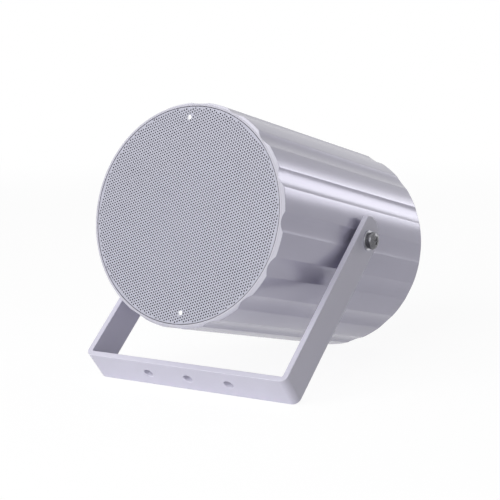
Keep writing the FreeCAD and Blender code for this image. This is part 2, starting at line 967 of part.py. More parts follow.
def gland_cap_nut():
    start = gland_neck_start + hole_gap
    end = start + cap_length
    corner = gland_flats / math.sqrt(3)
    cone = turned([
        (0, start),
        (corner, start),
        (corner, end - cap_round),
        (corner - 1.3 * cap_round, end),
        (0, end),
    ])
    nut = hexagon(gland_flats, start, cap_length).common(cone)
    tools = [
        disc(gland_neck_radius + thread_gap, start, cap_length - cap_end_wall),
        disc(cap_mouth_radius, start, cap_length),
    ]
    return gland_at(without(nut, tools))


# Pivot hardware, each piece along +Y from the seat outwards and then aimed along X

def pivot_pair(shape):
    centre = Vector(0, pivot_from_front, 0)
    return group([aimed(shape, centre + Vector(side * seat_plane, 0, 0), Vector(side, 0, 0))
                  for side in (1, -1)])


def pivot_inserts():
    barrel = disc(insert_barrel_radius, insert_flange_height - insert_length, insert_length)
    flange = disc(insert_flange_radius, 0, insert_flange_height)
    bulge = disc(insert_bulge_radius, -insert_bulge_offset - insert_bulge_length, insert_bulge_length)
    insert = joined([barrel, flange, bulge])
    return pivot_pair(insert.cut(disc(pivot_screw_radius + thread_gap, -body_length, 2 * body_length)))


def pivot_spacers():
    arm_face = arm_inner - seat_plane
    spacer = disc(pivot_spacer_radius, insert_flange_height, arm_face - insert_flange_height)
    collar = disc(pivot_collar_radius, arm_face, strip_thickness - hole_gap)
    spacer = joined([spacer, collar])
    return pivot_pair(spacer.cut(disc(pivot_screw_radius + hole_gap, 0, body_length)))


def flat_washers():
    start = bracket_half_width - seat_plane
    return pivot_pair(ring(flat_washer_radius, pivot_screw_radius + hole_gap, start, flat_washer_height))


def spring_washers():
    start = bracket_half_width - seat_plane + flat_washer_height
    washer = ring(spring_washer_radius, pivot_screw_radius + hole_gap, start, spring_washer_height)
    split = block(spring_washer_split, spring_washer_height, spring_washer_radius,
                  Vector(0, start + spring_washer_height / 2, spring_washer_radius / 2 + pivot_screw_radius))
    return pivot_pair(washer.cut(split))


def pivot_screws():
    start = bracket_half_width - seat_plane + flat_washer_height + spring_washer_height
    screw = pan_screw(pivot_screw_radius, pivot_screw_length, pivot_head_radius, pivot_head_height)
    return pivot_pair(aimed(screw, Vector(0, start, 0), axis_y * -1))


# Bracket, modelled with its arms upright about the pivot and its base below

def arm_outline():
    # side view of the strip: both long edges and the arm's end, an arc about the pivot
    half = strip_width / 2
    shoulder = math.sqrt(arm_end_radius**2 - half**2)
    low = -bracket_length
    corners = [
        segment(Vector(0, half, shoulder), Vector(0, half, low)),
        segment(Vector(0, half, low), Vector(0, -half, low)),
        segment(Vector(0, -half, low), Vector(0, -half, shoulder)),
        arc(Vector(0, -half, shoulder), Vector(0, 0, arm_end_radius), Vector(0, half, shoulder)),
    ]
    face = Part.Face(Part.Wire(Part.__sortEdges__(corners)))
    slab = face.extrude(Vector(2 * bracket_half_width, 0, 0))
    slab.translate(Vector(-bracket_half_width, 0, 0))
    return slab


def bracket():
    side = bracket_half_width
    outer = [
        Vector(-side, 0, arm_end_radius),
        Vector(-side, 0, -bracket_length),
        Vector(side, 0, -bracket_length),
        Vector(side, 0, arm_end_radius),
    ]
    strip = bent_strip(outer, strip_width, strip_thickness, strip_inner_bend).common(arm_outline())
    rims = [edge for edge in strip.Edges if abs(edge.tangentAt(edge.FirstParameter).y) < 0.9
            or edge.Curve.TypeId != "Part::GeomLine"]
    strip = strip.makeChamfer(strip_edge_chamfer, rims)
    tools = [rod(pivot_collar_radius + slip_gap, Vector(-side, 0, 0), Vector(1, 0, 0), 2 * side)]
    for index in (-1, 0, 1):
        foot = Vector(index * base_hole_spacing, 0, -bracket_length)
        tools.append(rod(base_hole_radius, foot, Vector(0, 0, 1), strip_thickness))
    return without(strip, tools)


# Rest position: the bracket leans forward by bracket_angle, and the whole stands on two edges

def rim_reach():
    return fluted_face().optimalBoundingBox(False).ZMax


def rest_placement():
    lean = math.radians(bracket_angle)
    half = strip_width / 2
    edge_y = -bracket_length * math.sin(lean) + half * math.cos(lean)
    edge_z = -bracket_length * math.cos(lean) - half * math.sin(lean)
    rear_y = body_length - pivot_from_front
    rim_y = rear_y - end_chamfer_length
    rim_z = -rim_reach()
    tilt = math.atan2(rim_z - edge_z, rim_y - edge_y)
    height = edge_y * math.sin(tilt) - edge_z * math.cos(tilt)
    front = -pivot_from_front * math.cos(tilt) - end_radius * math.sin(tilt)
    rear = rear_y * math.cos(tilt) + end_radius * math.sin(tilt)
    turn = Rotation(Vector(1, 0, 0), -math.degrees(tilt))
    stand = Placement(Vector(0, -(front + rear) / 2, height), turn)
    return stand.multiply(Placement(Vector(0, -pivot_from_front, 0), Rotation()))


def bracket_placement():
    lean = Rotation(Vector(1, 0, 0), -bracket_angle)
    return rest_placement().multiply(Placement(Vector(0, pivot_from_front, 0), lean))


housing_pieces = {
    "body_shell": body_shell,
    "front_baffle": front_baffle,
    "baffle_screws": baffle_screws,
    "grille": grille,
    "grille_cloth": grille_cloth,
    "grille_screws": grille_screws,
    "driver_gasket": driver_gasket,
    "driver_basket": driver_basket,
    "driver_screws": driver_screws,
    "surround": surround,
    "cone": cone,
    "dust_cap": dust_cap,
    "coil_former": coil_former,
    "coil_winding": coil_winding,
    "spider": spider,
    "top_plate": top_plate,
    "ring_magnet": ring_magnet,
    "pole_yoke": pole_yoke,
    "terminal_strip": terminal_strip,
    "solder_lugs": solder_lugs,
    "rear_cover": rear_cover,
    "rear_gasket": rear_gasket,
    "rear_cover_screws": rear_cover_screws,
    "transformer_core": transformer_core,
    "transformer_bobbin": transformer_bobbin,
    "transformer_winding": transformer_winding,
    "transformer_clamp": transformer_clamp,
    "transformer_screws": transformer_screws,
    "driver_leads": driver_leads,
    "input_leads": input_leads,
    "terminal_block": terminal_block,
    "terminal_clamp_screws": terminal_clamp_screws,
    "terminal_block_screws": terminal_block_screws,
    "gland_body": gland_body,
    "gland_washer": gland_washer,
    "gland_lock_nut": gland_lock_nut,
    "gland_seal": gland_seal,
    "gland_cap_nut": gland_cap_nut,
    "pivot_inserts": pivot_inserts,
    "pivot_spacers": pivot_spacers,
    "flat_washers": flat_washers,
    "spring_washers": spring_washers,
    "pivot_screws": pivot_screws,
}

os.makedirs("parts", exist_ok=True)
rest = rest_placement()
for name, make in housing_pieces.items():
    piece = make()
    piece.Placement = rest.multiply(piece.Placement)
    piece.exportStep(f"parts/{name}.step")

piece = bracket()
piece.Placement = bracket_placement().multiply(piece.Placement)
piece.exportStep("parts/bracket.step")
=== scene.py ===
import json
import math
import bmesh
import bpy
from mathutils import Euler, Matrix, Quaternion, Vector
from mathutils.geometry import tessellate_polygon


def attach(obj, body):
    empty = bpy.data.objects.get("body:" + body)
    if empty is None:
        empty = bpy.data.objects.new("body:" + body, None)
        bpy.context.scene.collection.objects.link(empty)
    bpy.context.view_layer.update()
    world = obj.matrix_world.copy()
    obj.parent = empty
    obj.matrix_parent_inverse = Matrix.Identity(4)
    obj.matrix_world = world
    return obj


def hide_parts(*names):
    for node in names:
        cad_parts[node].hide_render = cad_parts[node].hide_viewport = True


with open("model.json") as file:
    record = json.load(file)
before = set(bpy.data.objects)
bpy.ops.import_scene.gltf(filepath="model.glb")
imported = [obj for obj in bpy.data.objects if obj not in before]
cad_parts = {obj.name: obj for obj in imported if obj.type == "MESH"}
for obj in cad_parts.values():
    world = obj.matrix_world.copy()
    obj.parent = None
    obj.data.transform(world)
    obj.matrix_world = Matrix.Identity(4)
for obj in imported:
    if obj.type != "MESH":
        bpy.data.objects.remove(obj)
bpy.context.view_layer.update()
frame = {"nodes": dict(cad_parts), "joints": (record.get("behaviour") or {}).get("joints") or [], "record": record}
mm = 0.001
print("frame loaded")

# The housing's own frame is X to the right seen from the front, Y from the front face to the rear, Z up.
# The bracket's is X across, Y over the strip's width and Z from its base to the pivot.
tiltJoint = next(j for j in frame["joints"] if j["name"] == "housing_tilt")
coneJoint = next(j for j in frame["joints"] if j["name"] == "cone_travel")
baseFace = next(m for m in frame["record"]["mounts"] if m["name"] == "base_face")
pivotDepth = 106.1      # from the front face, in mm like every other size below
rightWay = Vector((1, 0, 0))
rearWay = Vector(coneJoint["axis"]).normalized()
pivotPoint = Vector(tiltJoint["pos_m"])


def placeOf(origin, depthWay, upWay):
    columns = Matrix((rightWay, depthWay, upWay)).transposed().to_4x4()
    return Matrix.Translation(origin) @ columns @ Matrix.Diagonal((mm, mm, mm, 1))


housingPlace = placeOf(pivotPoint - rearWay * pivotDepth * mm, rearWay, rightWay.cross(rearWay))
armWay = -Vector(baseFace["axis"]).normalized()
bracketPlace = placeOf(pivotPoint, armWay.cross(rightWay), armWay)


class Sock:                                   # a node's socket that takes part in Python sums
    def __init__(self, net, socket):
        self.net = net
        self.socket = socket

    def other(self, output):                  # another output of the same node
        return Sock(self.net, self.socket.node.outputs[output])

    def calc(self, operation, *others):
        values = dict(enumerate([self, *others]))
        return self.net.node("ShaderNodeMath", {"operation": operation}, values)

    def __add__(self, other):
        return self.calc("ADD", other)

    def __radd__(self, other):
        return self.calc("ADD", other)

    def __sub__(self, other):
        return self.calc("SUBTRACT", other)

    def __rsub__(self, other):
        return self.net.node("ShaderNodeMath", {"operation": "SUBTRACT"}, {0: other, 1: self})

    def __mul__(self, other):
        return self.calc("MULTIPLY", other)

    def __rmul__(self, other):
        return self.calc("MULTIPLY", other)

    def __truediv__(self, other):
        return self.calc("DIVIDE", other)

    def __rtruediv__(self, other):
        return self.net.node("ShaderNodeMath", {"operation": "DIVIDE"}, {0: other, 1: self})

    def __gt__(self, other):
        return self.calc("GREATER_THAN", other)

    def __lt__(self, other):
        return self.calc("LESS_THAN", other)


class Net:                                    # a node tree, with one method for any node
    def __init__(self, tree):
        self.tree = tree

    def node(self, kind, settings=None, values=None, out=0):
        made = self.tree.nodes.new(kind)
        for name, value in (settings or {}).items():
            if name == "stops":
                ramp = made.color_ramp
                while len(ramp.elements) < len(value):
                    ramp.elements.new(0.5)
                for element, (place, colour) in zip(ramp.elements, value):
                    element.position = place
                    element.color = (*colour, 1) if len(colour) == 3 else colour
            else:
                setattr(made, name, value)
        for name, value in (values or {}).items():
            for part in value if isinstance(value, list) else [value]:
                if isinstance(part, Sock):
                    self.tree.links.new(part.socket, made.inputs[name])
                else:
                    made.inputs[name].default_value = part
        return Sock(self, made.outputs[out]) if len(made.outputs) else made

    def mix(self, factor, first, second):
        values = {0: factor}
        for index, value in ((6, first), (7, second)):
            values[index] = value if isinstance(value, Sock) else (*value, 1)
        return self.node("ShaderNodeMix", {"data_type": "RGBA"}, values, 2)

    def shade(self, factor, low, high):       # a number that runs from low to high
        return factor * (high - low) + low


def newMaterial(name):
    material = bpy.data.materials.new(name)
    material.use_nodes = True
    material.node_tree.nodes.clear()
    return material, Net(material.node_tree)


def principled(net, **sockets):
    values = {}
    for name, value in sockets.items():
        label = "".join(" " + c if c.isupper() else c for c in name).strip().title()
        label = label.replace("Ior", "IOR")
        if label in ("Base Color", "Sheen Tint", "Coat Tint", "Specular Tint", "Emission Color"):
            if not isinstance(value, Sock):
                value = (*value, 1)
        values[label] = value
    surface = net.node("ShaderNodeBsdfPrincipled", {}, values)
    net.node("ShaderNodeOutputMaterial", {}, {"Surface": surface})
    return surface


def objectPoint(net, scale=(1, 1, 1), place=None):
    # the object coordinates in millimetres, in the housing's or the bracket's own frame if it is given
    point = net.node("ShaderNodeTexCoord", {}, {}, "Object")
    if place is not None:
        inverse = place.inverted()
        turn = inverse.to_3x3().normalized().to_euler()
        point = net.node("ShaderNodeMapping", {"vector_type": "POINT"},
                         {"Vector": point, "Location": inverse.translation, "Rotation": turn,
                          "Scale": (1 / mm, 1 / mm, 1 / mm)})
        return net.node("ShaderNodeVectorMath", {"operation": "MULTIPLY"}, {0: point, 1: scale})
    return net.node("ShaderNodeVectorMath", {"operation": "MULTIPLY"},
                    {0: point, 1: tuple(s / mm for s in scale)})


def noise(net, point, scale, detail=3.0, roughness=0.5):
    return net.node("ShaderNodeTexNoise", {"noise_dimensions": "3D"},
                    {"Vector": point, "Scale": scale, "Detail": detail, "Roughness": roughness})


def bump(net, height, distance, strength=1.0):
    return net.node("ShaderNodeBump", {}, {"Height": height, "Distance": distance, "Strength": strength})


def paintedMetal(name, look, place):
    # lacquered or powder coated metal: a fine orange peel, faint clouds, and lines left by the extrusion
    material, net = newMaterial(name)
    point = objectPoint(net, place=place)
    peel = noise(net, point, look["peelScale"], 2.0)
    cloud = noise(net, point, look["cloudScale"], 4.0)
    height = peel * look["peelDepth"]
    tone = cloud
    if "lineDepth" in look:
        along = objectPoint(net, look["lineWay"], place)
        lines = noise(net, along, look["lineScale"], 5.0, 0.65)
        height = height + lines * look["lineDepth"]
        tone = cloud * 0.5 + lines * 0.5
    colour = net.mix(tone, look["dark"], look["light"])
    if "shadeFrom" in look:                   # painted shade on the walls of the small holes, dark from a set depth into the plate
        holeShadeMask = net.node("ShaderNodeMapRange", {}, {0: net.node("ShaderNodeSeparateXYZ", {}, {"Vector": point}).other(1),
                                                   1: look["shadeFrom"], 2: look["shadeTo"]})
        colour = net.mix(holeShadeMask, colour, look["paintedHoleShade"])
    flake = noise(net, point, look["flakeScale"], 1.0)
    rough = net.shade(cloud, look["roughLow"], look["roughHigh"]) + (flake - 0.5) * look["flake"]
    metallic = look["metallic"]
    if "cutEnds" in look:                     # the turned ends of an extrusion, plainer and paler than its wall
        ends = look["cutEnds"]
        across = net.node("ShaderNodeSeparateXYZ", {}, {"Vector": point})
        depth = across.other(1)
        depth = depth.calc("MINIMUM", depth * -1 + ends["length"])
        reach = (across * across + across.other(2) * across.other(2)).calc("SQRT")
        onSlope = net.node("ShaderNodeMapRange", {}, {
            0: reach - depth * ends["slope"],
            1: ends["radius"] - ends["edgeFrom"], 2: ends["radius"] - ends["edgeTo"]})
        onFace = depth < ends["faceDepth"]
        colour = net.mix(onFace, net.mix(onSlope, colour, ends["slopeColour"]), ends["faceColour"])
        cut = onSlope.calc("MAXIMUM", onFace)
        rough = net.node("ShaderNodeMix", {"data_type": "FLOAT"}, {0: cut, 2: rough, 3: ends["rough"]})
        metallic = net.shade(onSlope, metallic, ends["metallic"]) * (onFace * -1 + 1)
    principled(net, BaseColor=colour, Metallic=metallic, Roughness=rough, SpecularIorLevel=look.get("shine", 0.5),
               Normal=bump(net, height, 1.0 * mm))
    return material


def plainMetal(name, look):
    material, net = newMaterial(name)
    point = objectPoint(net)
    grain = noise(net, point, look["grainScale"], 3.0)
    stain = noise(net, point, look["stainScale"], 3.0)
    colour = net.mix(stain, look["dark"], look["light"])
    rough = net.shade(grain, look["roughLow"], look["roughHigh"])
    principled(net, BaseColor=colour, Metallic=1.0, Roughness=rough,
               Normal=bump(net, grain * look["grainDepth"], 1.0 * mm))
    return material


def plainPlastic(name, look):
    material, net = newMaterial(name)
    point = objectPoint(net)
    grain = noise(net, point, look["grainScale"], 3.0)
    stain = noise(net, point, look["stainScale"], 2.0)
    colour = net.mix(stain, look["dark"], look["light"])
    rough = net.shade(grain, look["roughLow"], look["roughHigh"])
    principled(net, BaseColor=colour, Roughness=rough, Normal=bump(net, grain * look["grainDepth"], 1.0 * mm))
    return material


def newMesh(name, points, faces):
    mesh = bpy.data.meshes.new(name)
    mesh.from_pydata([tuple(p) for p in points], [], faces)
    return mesh


def cleanMesh(mesh):
    shape = bmesh.new()
    shape.from_mesh(mesh)
    bmesh.ops.remove_doubles(shape, verts=shape.verts, dist=1e-4)
    bmesh.ops.dissolve_degenerate(shape, edges=shape.edges, dist=1e-5)
    bmesh.ops.recalc_face_normals(shape, faces=shape.faces)
    shape.to_mesh(mesh)
    shape.free()
    return mesh


def newObject(name, mesh):
    made = bpy.data.objects.new(name, mesh)
    bpy.context.scene.collection.objects.link(made)
    return made


def settled(made):                            # modifiers worked into a plain mesh
    graph = bpy.context.evaluated_depsgraph_get()
    mesh = bpy.data.meshes.new_from_object(made.evaluated_get(graph), depsgraph=graph)
    made.modifiers.clear()
    made.data = mesh
    return made


def finishPiece(made, place, material, body, replaced=(), sharp=35, bevel=0.0, flats=True):
    mesh = made.data
    if bevel:
        edge = made.modifiers.new("edges", "BEVEL")
        edge.width = bevel
        edge.segments = 2
        edge.limit_method = "ANGLE"
        edge.angle_limit = math.radians(sharp)
        edge.harden_normals = False
        mesh = settled(made).data
    mesh.transform(place)
    mesh.materials.clear()
    mesh.materials.append(material)
    for face in mesh.polygons:
        face.material_index = 0
    mesh.shade_smooth()
    mesh.set_sharp_from_angle(angle=math.radians(sharp))
    if flats:
        even = made.modifiers.new("flats", "WEIGHTED_NORMAL")
        even.keep_sharp = True
        mesh = settled(made).data
    mesh.name = made.name
    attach(made, body)
    if replaced:
        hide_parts(*replaced)
    return made


def lathe(name, outline, segments=96, angles=None):
    # turns a closed outline of (radius, depth) points round the depth axis
    turns = angles or [2 * math.pi * i / segments for i in range(segments)]
    points = [(r * math.cos(a), y, r * math.sin(a)) for a in turns for r, y in outline]
    rows, columns = len(outline), len(turns)
    faces = []
    for column in range(columns):
        ahead = (column + 1) % columns
        for row in range(rows):
            above = (row + 1) % rows
            if outline[row][0] < 1e-6 and outline[above][0] < 1e-6:
                continue
            faces.append((column * rows + row, column * rows + above,
                          ahead * rows + above, ahead * rows + row))
    return cleanMesh(newMesh(name, points, faces))


def roundEdge(corner, before, after, radius, steps=3):
    # an outline's corner as a small arc between the directions to its neighbours
    corner, before, after = Vector(corner), Vector(before), Vector(after)
    back = (before - corner).normalized()
    ahead = (after - corner).normalized()
    half = back.angle(ahead) / 2
    centre = corner + (back + ahead).normalized() * (radius / math.sin(half))
    start = corner + back * (radius / math.tan(half)) - centre
    end = corner + ahead * (radius / math.tan(half)) - centre
    turn = start.angle(end)
    arc = []
    for step in range(steps + 1):
        share = step / steps
        way = (start * math.sin((1 - share) * turn) + end * math.sin(share * turn)) / math.sin(turn)
        arc.append(tuple(centre + way))
    return arc


def rounded(outline, radii, steps=3):
    # the outline with some of its corners rounded, radii by corner index
    made = []
    for index, corner in enumerate(outline):
        if index in radii:
            after = outline[(index + 1) % len(outline)]
            made += roundEdge(corner, outline[index - 1], after, radii[index], steps)
        else:
            made.append(corner)
    return made


def roundPlaces(count, radius, phase):
    return [(radius * math.cos(a), radius * math.sin(a)) for a in
            (math.radians(phase + 360 * i / count) for i in range(count))]


def circleLoop(across, up, radius, count):
    ways = [Vector((math.cos(2 * math.pi * i / count), math.sin(2 * math.pi * i / count))) for i in range(count)]
    return [(Vector((across, up)) + way * radius, way) for way in ways]


def plate(name, outer, holes, thickness, edge, steps=3):
    # a flat plate in XY with rounded edges; a loop is a list of (point, direction away from its middle)
    insets = []
    for step in range(steps + 1):
        a = math.pi / 2 * step / steps
        insets.append((edge * (1 - math.sin(a)), thickness / 2 - edge * (1 - math.cos(a))))
    insets += [(inset, -height) for inset, height in insets[::-1]]
    points, faces, caps = [], [], []
    for loop, side in [(outer, -1)] + [(hole, 1) for hole in holes]:
        start, count = len(points), len(loop)
        for inset, height in insets:
            points += [(*(p + way * side * inset), height) for p, way in loop]
        for row in range(len(insets) - 1):
            for column in range(count):
                a = start + row * count + column
                b = start + row * count + (column + 1) % count
                faces.append((a, b, b + count, a + count))
        caps.append((start, count))
    for row in (0, len(insets) - 1):
        rings = [[start + row * count + i for i in range(count)] for start, count in caps]
        flat = [index for ring in rings for index in ring]
        triangles = tessellate_polygon([[Vector(points[i]) for i in ring] for ring in rings])
        faces += [tuple(flat[i] for i in triangle) for triangle in triangles]
    return cleanMesh(newMesh(name, points, faces))


def boolean(made, cutter, operation="DIFFERENCE"):
    cut = made.modifiers.new("cut", "BOOLEAN")
    cut.operation = operation
    cut.solver = "EXACT"
    cut.object = cutter
    settled(made)
    bpy.data.objects.remove(cutter)
    return made


def boxMesh(name, size, centre):
    shape = bmesh.new()
    bmesh.ops.create_cube(shape, size=1.0)
    bmesh.ops.scale(shape, vec=size, verts=shape.verts)
    bmesh.ops.translate(shape, vec=centre, verts=shape.verts)
    mesh = bpy.data.meshes.new(name)
    shape.to_mesh(mesh)
    shape.free()
    return mesh


def stoodUp(mesh, depth):
    # from lying in XY to standing across the housing
    mesh.transform(Matrix(((1, 0, 0, 0), (0, 0, 1, depth), (0, 1, 0, 0), (0, 0, 0, 1))))
    mesh.flip_normals()
    return mesh


def joinedMesh(name, meshes):
    shape = bmesh.new()
    for mesh in meshes:
        shape.from_mesh(mesh)
    made = bpy.data.meshes.new(name)
    shape.to_mesh(made)
    shape.free()
    return made


class GeometryTree(Net):                      # a Geometry Nodes group with named inputs
    def __init__(self, name, inputs):
        group = bpy.data.node_groups.new(name, "GeometryNodeTree")
        super().__init__(group)
        face = group.interface
        face.new_socket(name="Geometry", in_out="OUTPUT", socket_type="NodeSocketGeometry")
        face.new_socket(name="Geometry", in_out="INPUT", socket_type="NodeSocketGeometry")
        self.identifiers = {}
        kinds = {float: "NodeSocketFloat", int: "NodeSocketInt", bpy.types.Object: "NodeSocketObject",
                 bpy.types.Material: "NodeSocketMaterial"}
        self.values = inputs
        for label, value in inputs.items():
            socket = face.new_socket(name=label, in_out="INPUT", socket_type=kinds[type(value)])
            self.identifiers[label] = socket.identifier
        source = group.nodes.new("NodeGroupInput")
        self.given = {socket.name: Sock(self, socket) for socket in source.outputs if socket.name}

    def close(self, geometry):
        instances = self.node("GeometryNodeRealizeInstances", {}, {"Geometry": geometry})
        painted = self.node("GeometryNodeSetMaterial", {}, {"Geometry": instances,
                                                            "Material": self.given["Material"]})
        self.node("NodeGroupOutput", {}, {0: painted})

    def applied(self, name, mesh):
        made = newObject(name, mesh)
        modifier = made.modifiers.new("tree", "NODES")
        modifier.node_group = self.tree
        for label, value in self.values.items():
            modifier[self.identifiers[label]] = value
        return settled(made)


print("helpers ready")

shellPaint = paintedMetal("silver_lacquer_on_extrusion", {
    "dark": (0.47, 0.455, 0.56), "light": (0.52, 0.505, 0.615),
    "cloudScale": 0.03, "peelScale": 1.6, "peelDepth": 0.006, "flakeScale": 9.0, "flake": 0.06,
    "lineDepth": 0.012, "lineWay": (1.0, 0.004, 1.0), "lineScale": 1.3,
    "roughLow": 0.19, "roughHigh": 0.24, "metallic": 0.27, "shine": 0.25,
    "cutEnds": {"length": 206.2, "radius": 74.6, "slope": 1.4 / 2.6, "rough": 0.45, "metallic": 0.85,
                "edgeFrom": 0.12, "edgeTo": 0.04, "faceDepth": 0.15,
                "slopeColour": (0.66, 0.65, 0.73), "faceColour": (0.54, 0.53, 0.60)},
}, housingPlace)
bracketPaint = paintedMetal("silver_powder_coat", {
    "dark": (0.665, 0.65, 0.755), "light": (0.705, 0.69, 0.795),
    "cloudScale": 0.03, "peelScale": 2.2, "peelDepth": 0.03, "flakeScale": 9.0, "flake": 0.08,
    "roughLow": 0.42, "roughHigh": 0.5, "metallic": 0.0,
}, bracketPlace)
grillePaint = paintedMetal("silver_powder_coat_on_grille", {
    # the near-black colour of the hole walls is painted shade, set by depth into the plate
    "dark": (0.42, 0.42, 0.495), "light": (0.46, 0.46, 0.54), "paintedHoleShade": (0.10, 0.10, 0.12),
    "shadeFrom": 0.33, "shadeTo": 0.5,
    "cloudScale": 0.03, "peelScale": 2.0, "peelDepth": 0.02, "flakeScale": 9.0, "flake": 0.08,
    "roughLow": 0.4, "roughHigh": 0.48, "metallic": 0.0,
}, housingPlace)
coverPaint = paintedMetal("silver_lacquer_on_cover", {
    "dark": (0.50, 0.487, 0.59), "light": (0.55, 0.535, 0.64),
    "cloudScale": 0.03, "peelScale": 1.6, "peelDepth": 0.02, "flakeScale": 9.0, "flake": 0.08,
    "roughLow": 0.34, "roughHigh": 0.42, "metallic": 0.2,
}, housingPlace)
brightZinc = plainMetal("bright_zinc", {
    "dark": (0.60, 0.60, 0.63), "light": (0.72, 0.72, 0.75), "grainScale": 3.0, "grainDepth": 0.01,
    "stainScale": 0.4, "roughLow": 0.22, "roughHigh": 0.32})
darkZinc = plainMetal("dark_zinc", {
    "dark": (0.10, 0.10, 0.11), "light": (0.17, 0.17, 0.18), "grainScale": 3.0, "grainDepth": 0.015,
    "stainScale": 0.5, "roughLow": 0.2, "roughHigh": 0.32})
stainless = plainMetal("stainless_steel", {
    "dark": (0.48, 0.48, 0.52), "light": (0.54, 0.54, 0.58), "grainScale": 3.0, "grainDepth": 0.012,
    "stainScale": 0.4, "roughLow": 0.25, "roughHigh": 0.36})
blackNylon = plainPlastic("black_nylon", {
    "dark": (0.035, 0.035, 0.038), "light": (0.055, 0.055, 0.06), "grainScale": 2.0, "grainDepth": 0.02,
    "stainScale": 0.3, "roughLow": 0.4, "roughHigh": 0.55})
greyNylon = plainPlastic("grey_nylon", {
    "dark": (0.50, 0.50, 0.52), "light": (0.56, 0.56, 0.58), "grainScale": 2.0, "grainDepth": 0.02,
    "stainScale": 0.3, "roughLow": 0.42, "roughHigh": 0.55})
blackRubber = plainPlastic("black_rubber", {
    "dark": (0.04, 0.04, 0.04), "light": (0.07, 0.07, 0.07), "grainScale": 2.5, "grainDepth": 0.04,
    "stainScale": 0.3, "roughLow": 0.7, "roughHigh": 0.85})


def wovenCloth(name, look):                   # a plain weave, threads crossing at right angles
    material, net = newMaterial(name)
    point = objectPoint(net, place=housingPlace)
    across = net.node("ShaderNodeSeparateXYZ", {}, {"Vector": point})
    turn = 2 * math.pi / look["thread"]
    warp = (across * turn).calc("SINE")
    weft = (across.other(2) * turn).calc("SINE")
    weave = (warp * weft) * 0.5 + 0.5
    colour = net.mix(weave, look["dark"], look["light"])
    principled(net, BaseColor=colour, Roughness=net.shade(weave, 0.75, 0.92),
               Normal=bump(net, weave * look["threadDepth"], 1.0 * mm))
    return material


clothFinish = wovenCloth("black_acoustic_cloth", {
    "thread": 0.5, "threadDepth": 0.08, "dark": (0.012, 0.012, 0.014), "light": (0.045, 0.045, 0.05)})
print("finishes ready")

shellSizes = {"length": 206.2, "lobe": 76.0, "flutes": 16, "fluteDepth": 1.3, "fluteRadius": 24.0,
              "edgeRound": 0.3, "chamfer": 1.4, "chamferLength": 2.6, "chamferEase": 0.3, "settle": 0.8, "recess": 73.2,
              "bore": 72.0, "frontLedge": 7.7, "rearLedge": 199.4, "rimEdge": 0.3, "channelOffset": 66.6,
              "channelRadius": 4.0, "holeRadius": 2.0, "channelNeck": 5.0, "seatRadius": 6.4,
              "seatPlane": 74.5, "insertRadius": 4.55}


def fluteTree(look):
    # draws the outer wall in to the flutes' arcs, and the chamfers' edges out to the ends with it
    tree = GeometryTree("flutes", {
        "Flutes": float(look["flutes"]), "Lobe radius": look["lobe"], "Flute depth": look["fluteDepth"],
        "Flute radius": look["fluteRadius"], "Edge round": look["edgeRound"], "Material": shellPaint})
    given = tree.given
    position = tree.node("GeometryNodeInputPosition")
    x = tree.node("ShaderNodeSeparateXYZ", {}, {"Vector": position})
    z = x.other(2)
    half = math.pi / given["Flutes"]
    angle = z.calc("ARCTAN2", x)
    local = tree.node("ShaderNodeMath", {"operation": "WRAP"}, {0: angle, 1: half, 2: half * -1})
    middle = given["Lobe radius"] - given["Flute depth"] + given["Flute radius"]
    across = middle * local.calc("SINE")
    chord = (given["Flute radius"] * given["Flute radius"] - across * across).calc("MAXIMUM", 0.0)
    fluted = middle * local.calc("COSINE") - chord.calc("SQRT")
    wall = tree.node("ShaderNodeMath", {"operation": "SMOOTH_MIN"},
                     {0: fluted, 1: given["Lobe radius"], 2: given["Edge round"]})
    inwards, along = [tree.node("GeometryNodeInputNamedAttribute", {"data_type": "FLOAT"}, {"Name": name})
                      for name in ("inwards", "along")]
    fall = wall - given["Lobe radius"]
    move = tree.node("ShaderNodeCombineXYZ", {}, {0: angle.calc("COSINE") * fall * inwards, 1: fall * along,
                                                  2: angle.calc("SINE") * fall * inwards})
    moved = tree.node("GeometryNodeSetPosition", {}, {"Geometry": given["Geometry"], "Offset": move})
    tree.close(moved)
    return tree


def flutedAngles(look):
    # columns close together at the flutes' edges and wider apart elsewhere, in degrees from a flute's middle
    half = 180 / look["flutes"]
    spots = [0, 1.2, 2.4, 3.4, 4.1, 4.5, 4.7, 4.85, 4.95, 5.05, 5.15, 5.25, 5.35, 5.5, 5.7, 6.1, 7, 9]
    one = sorted({-s for s in spots} | set(spots) | {half})
    return [math.radians(2 * half * i + s) for i in range(look["flutes"]) for s in one]


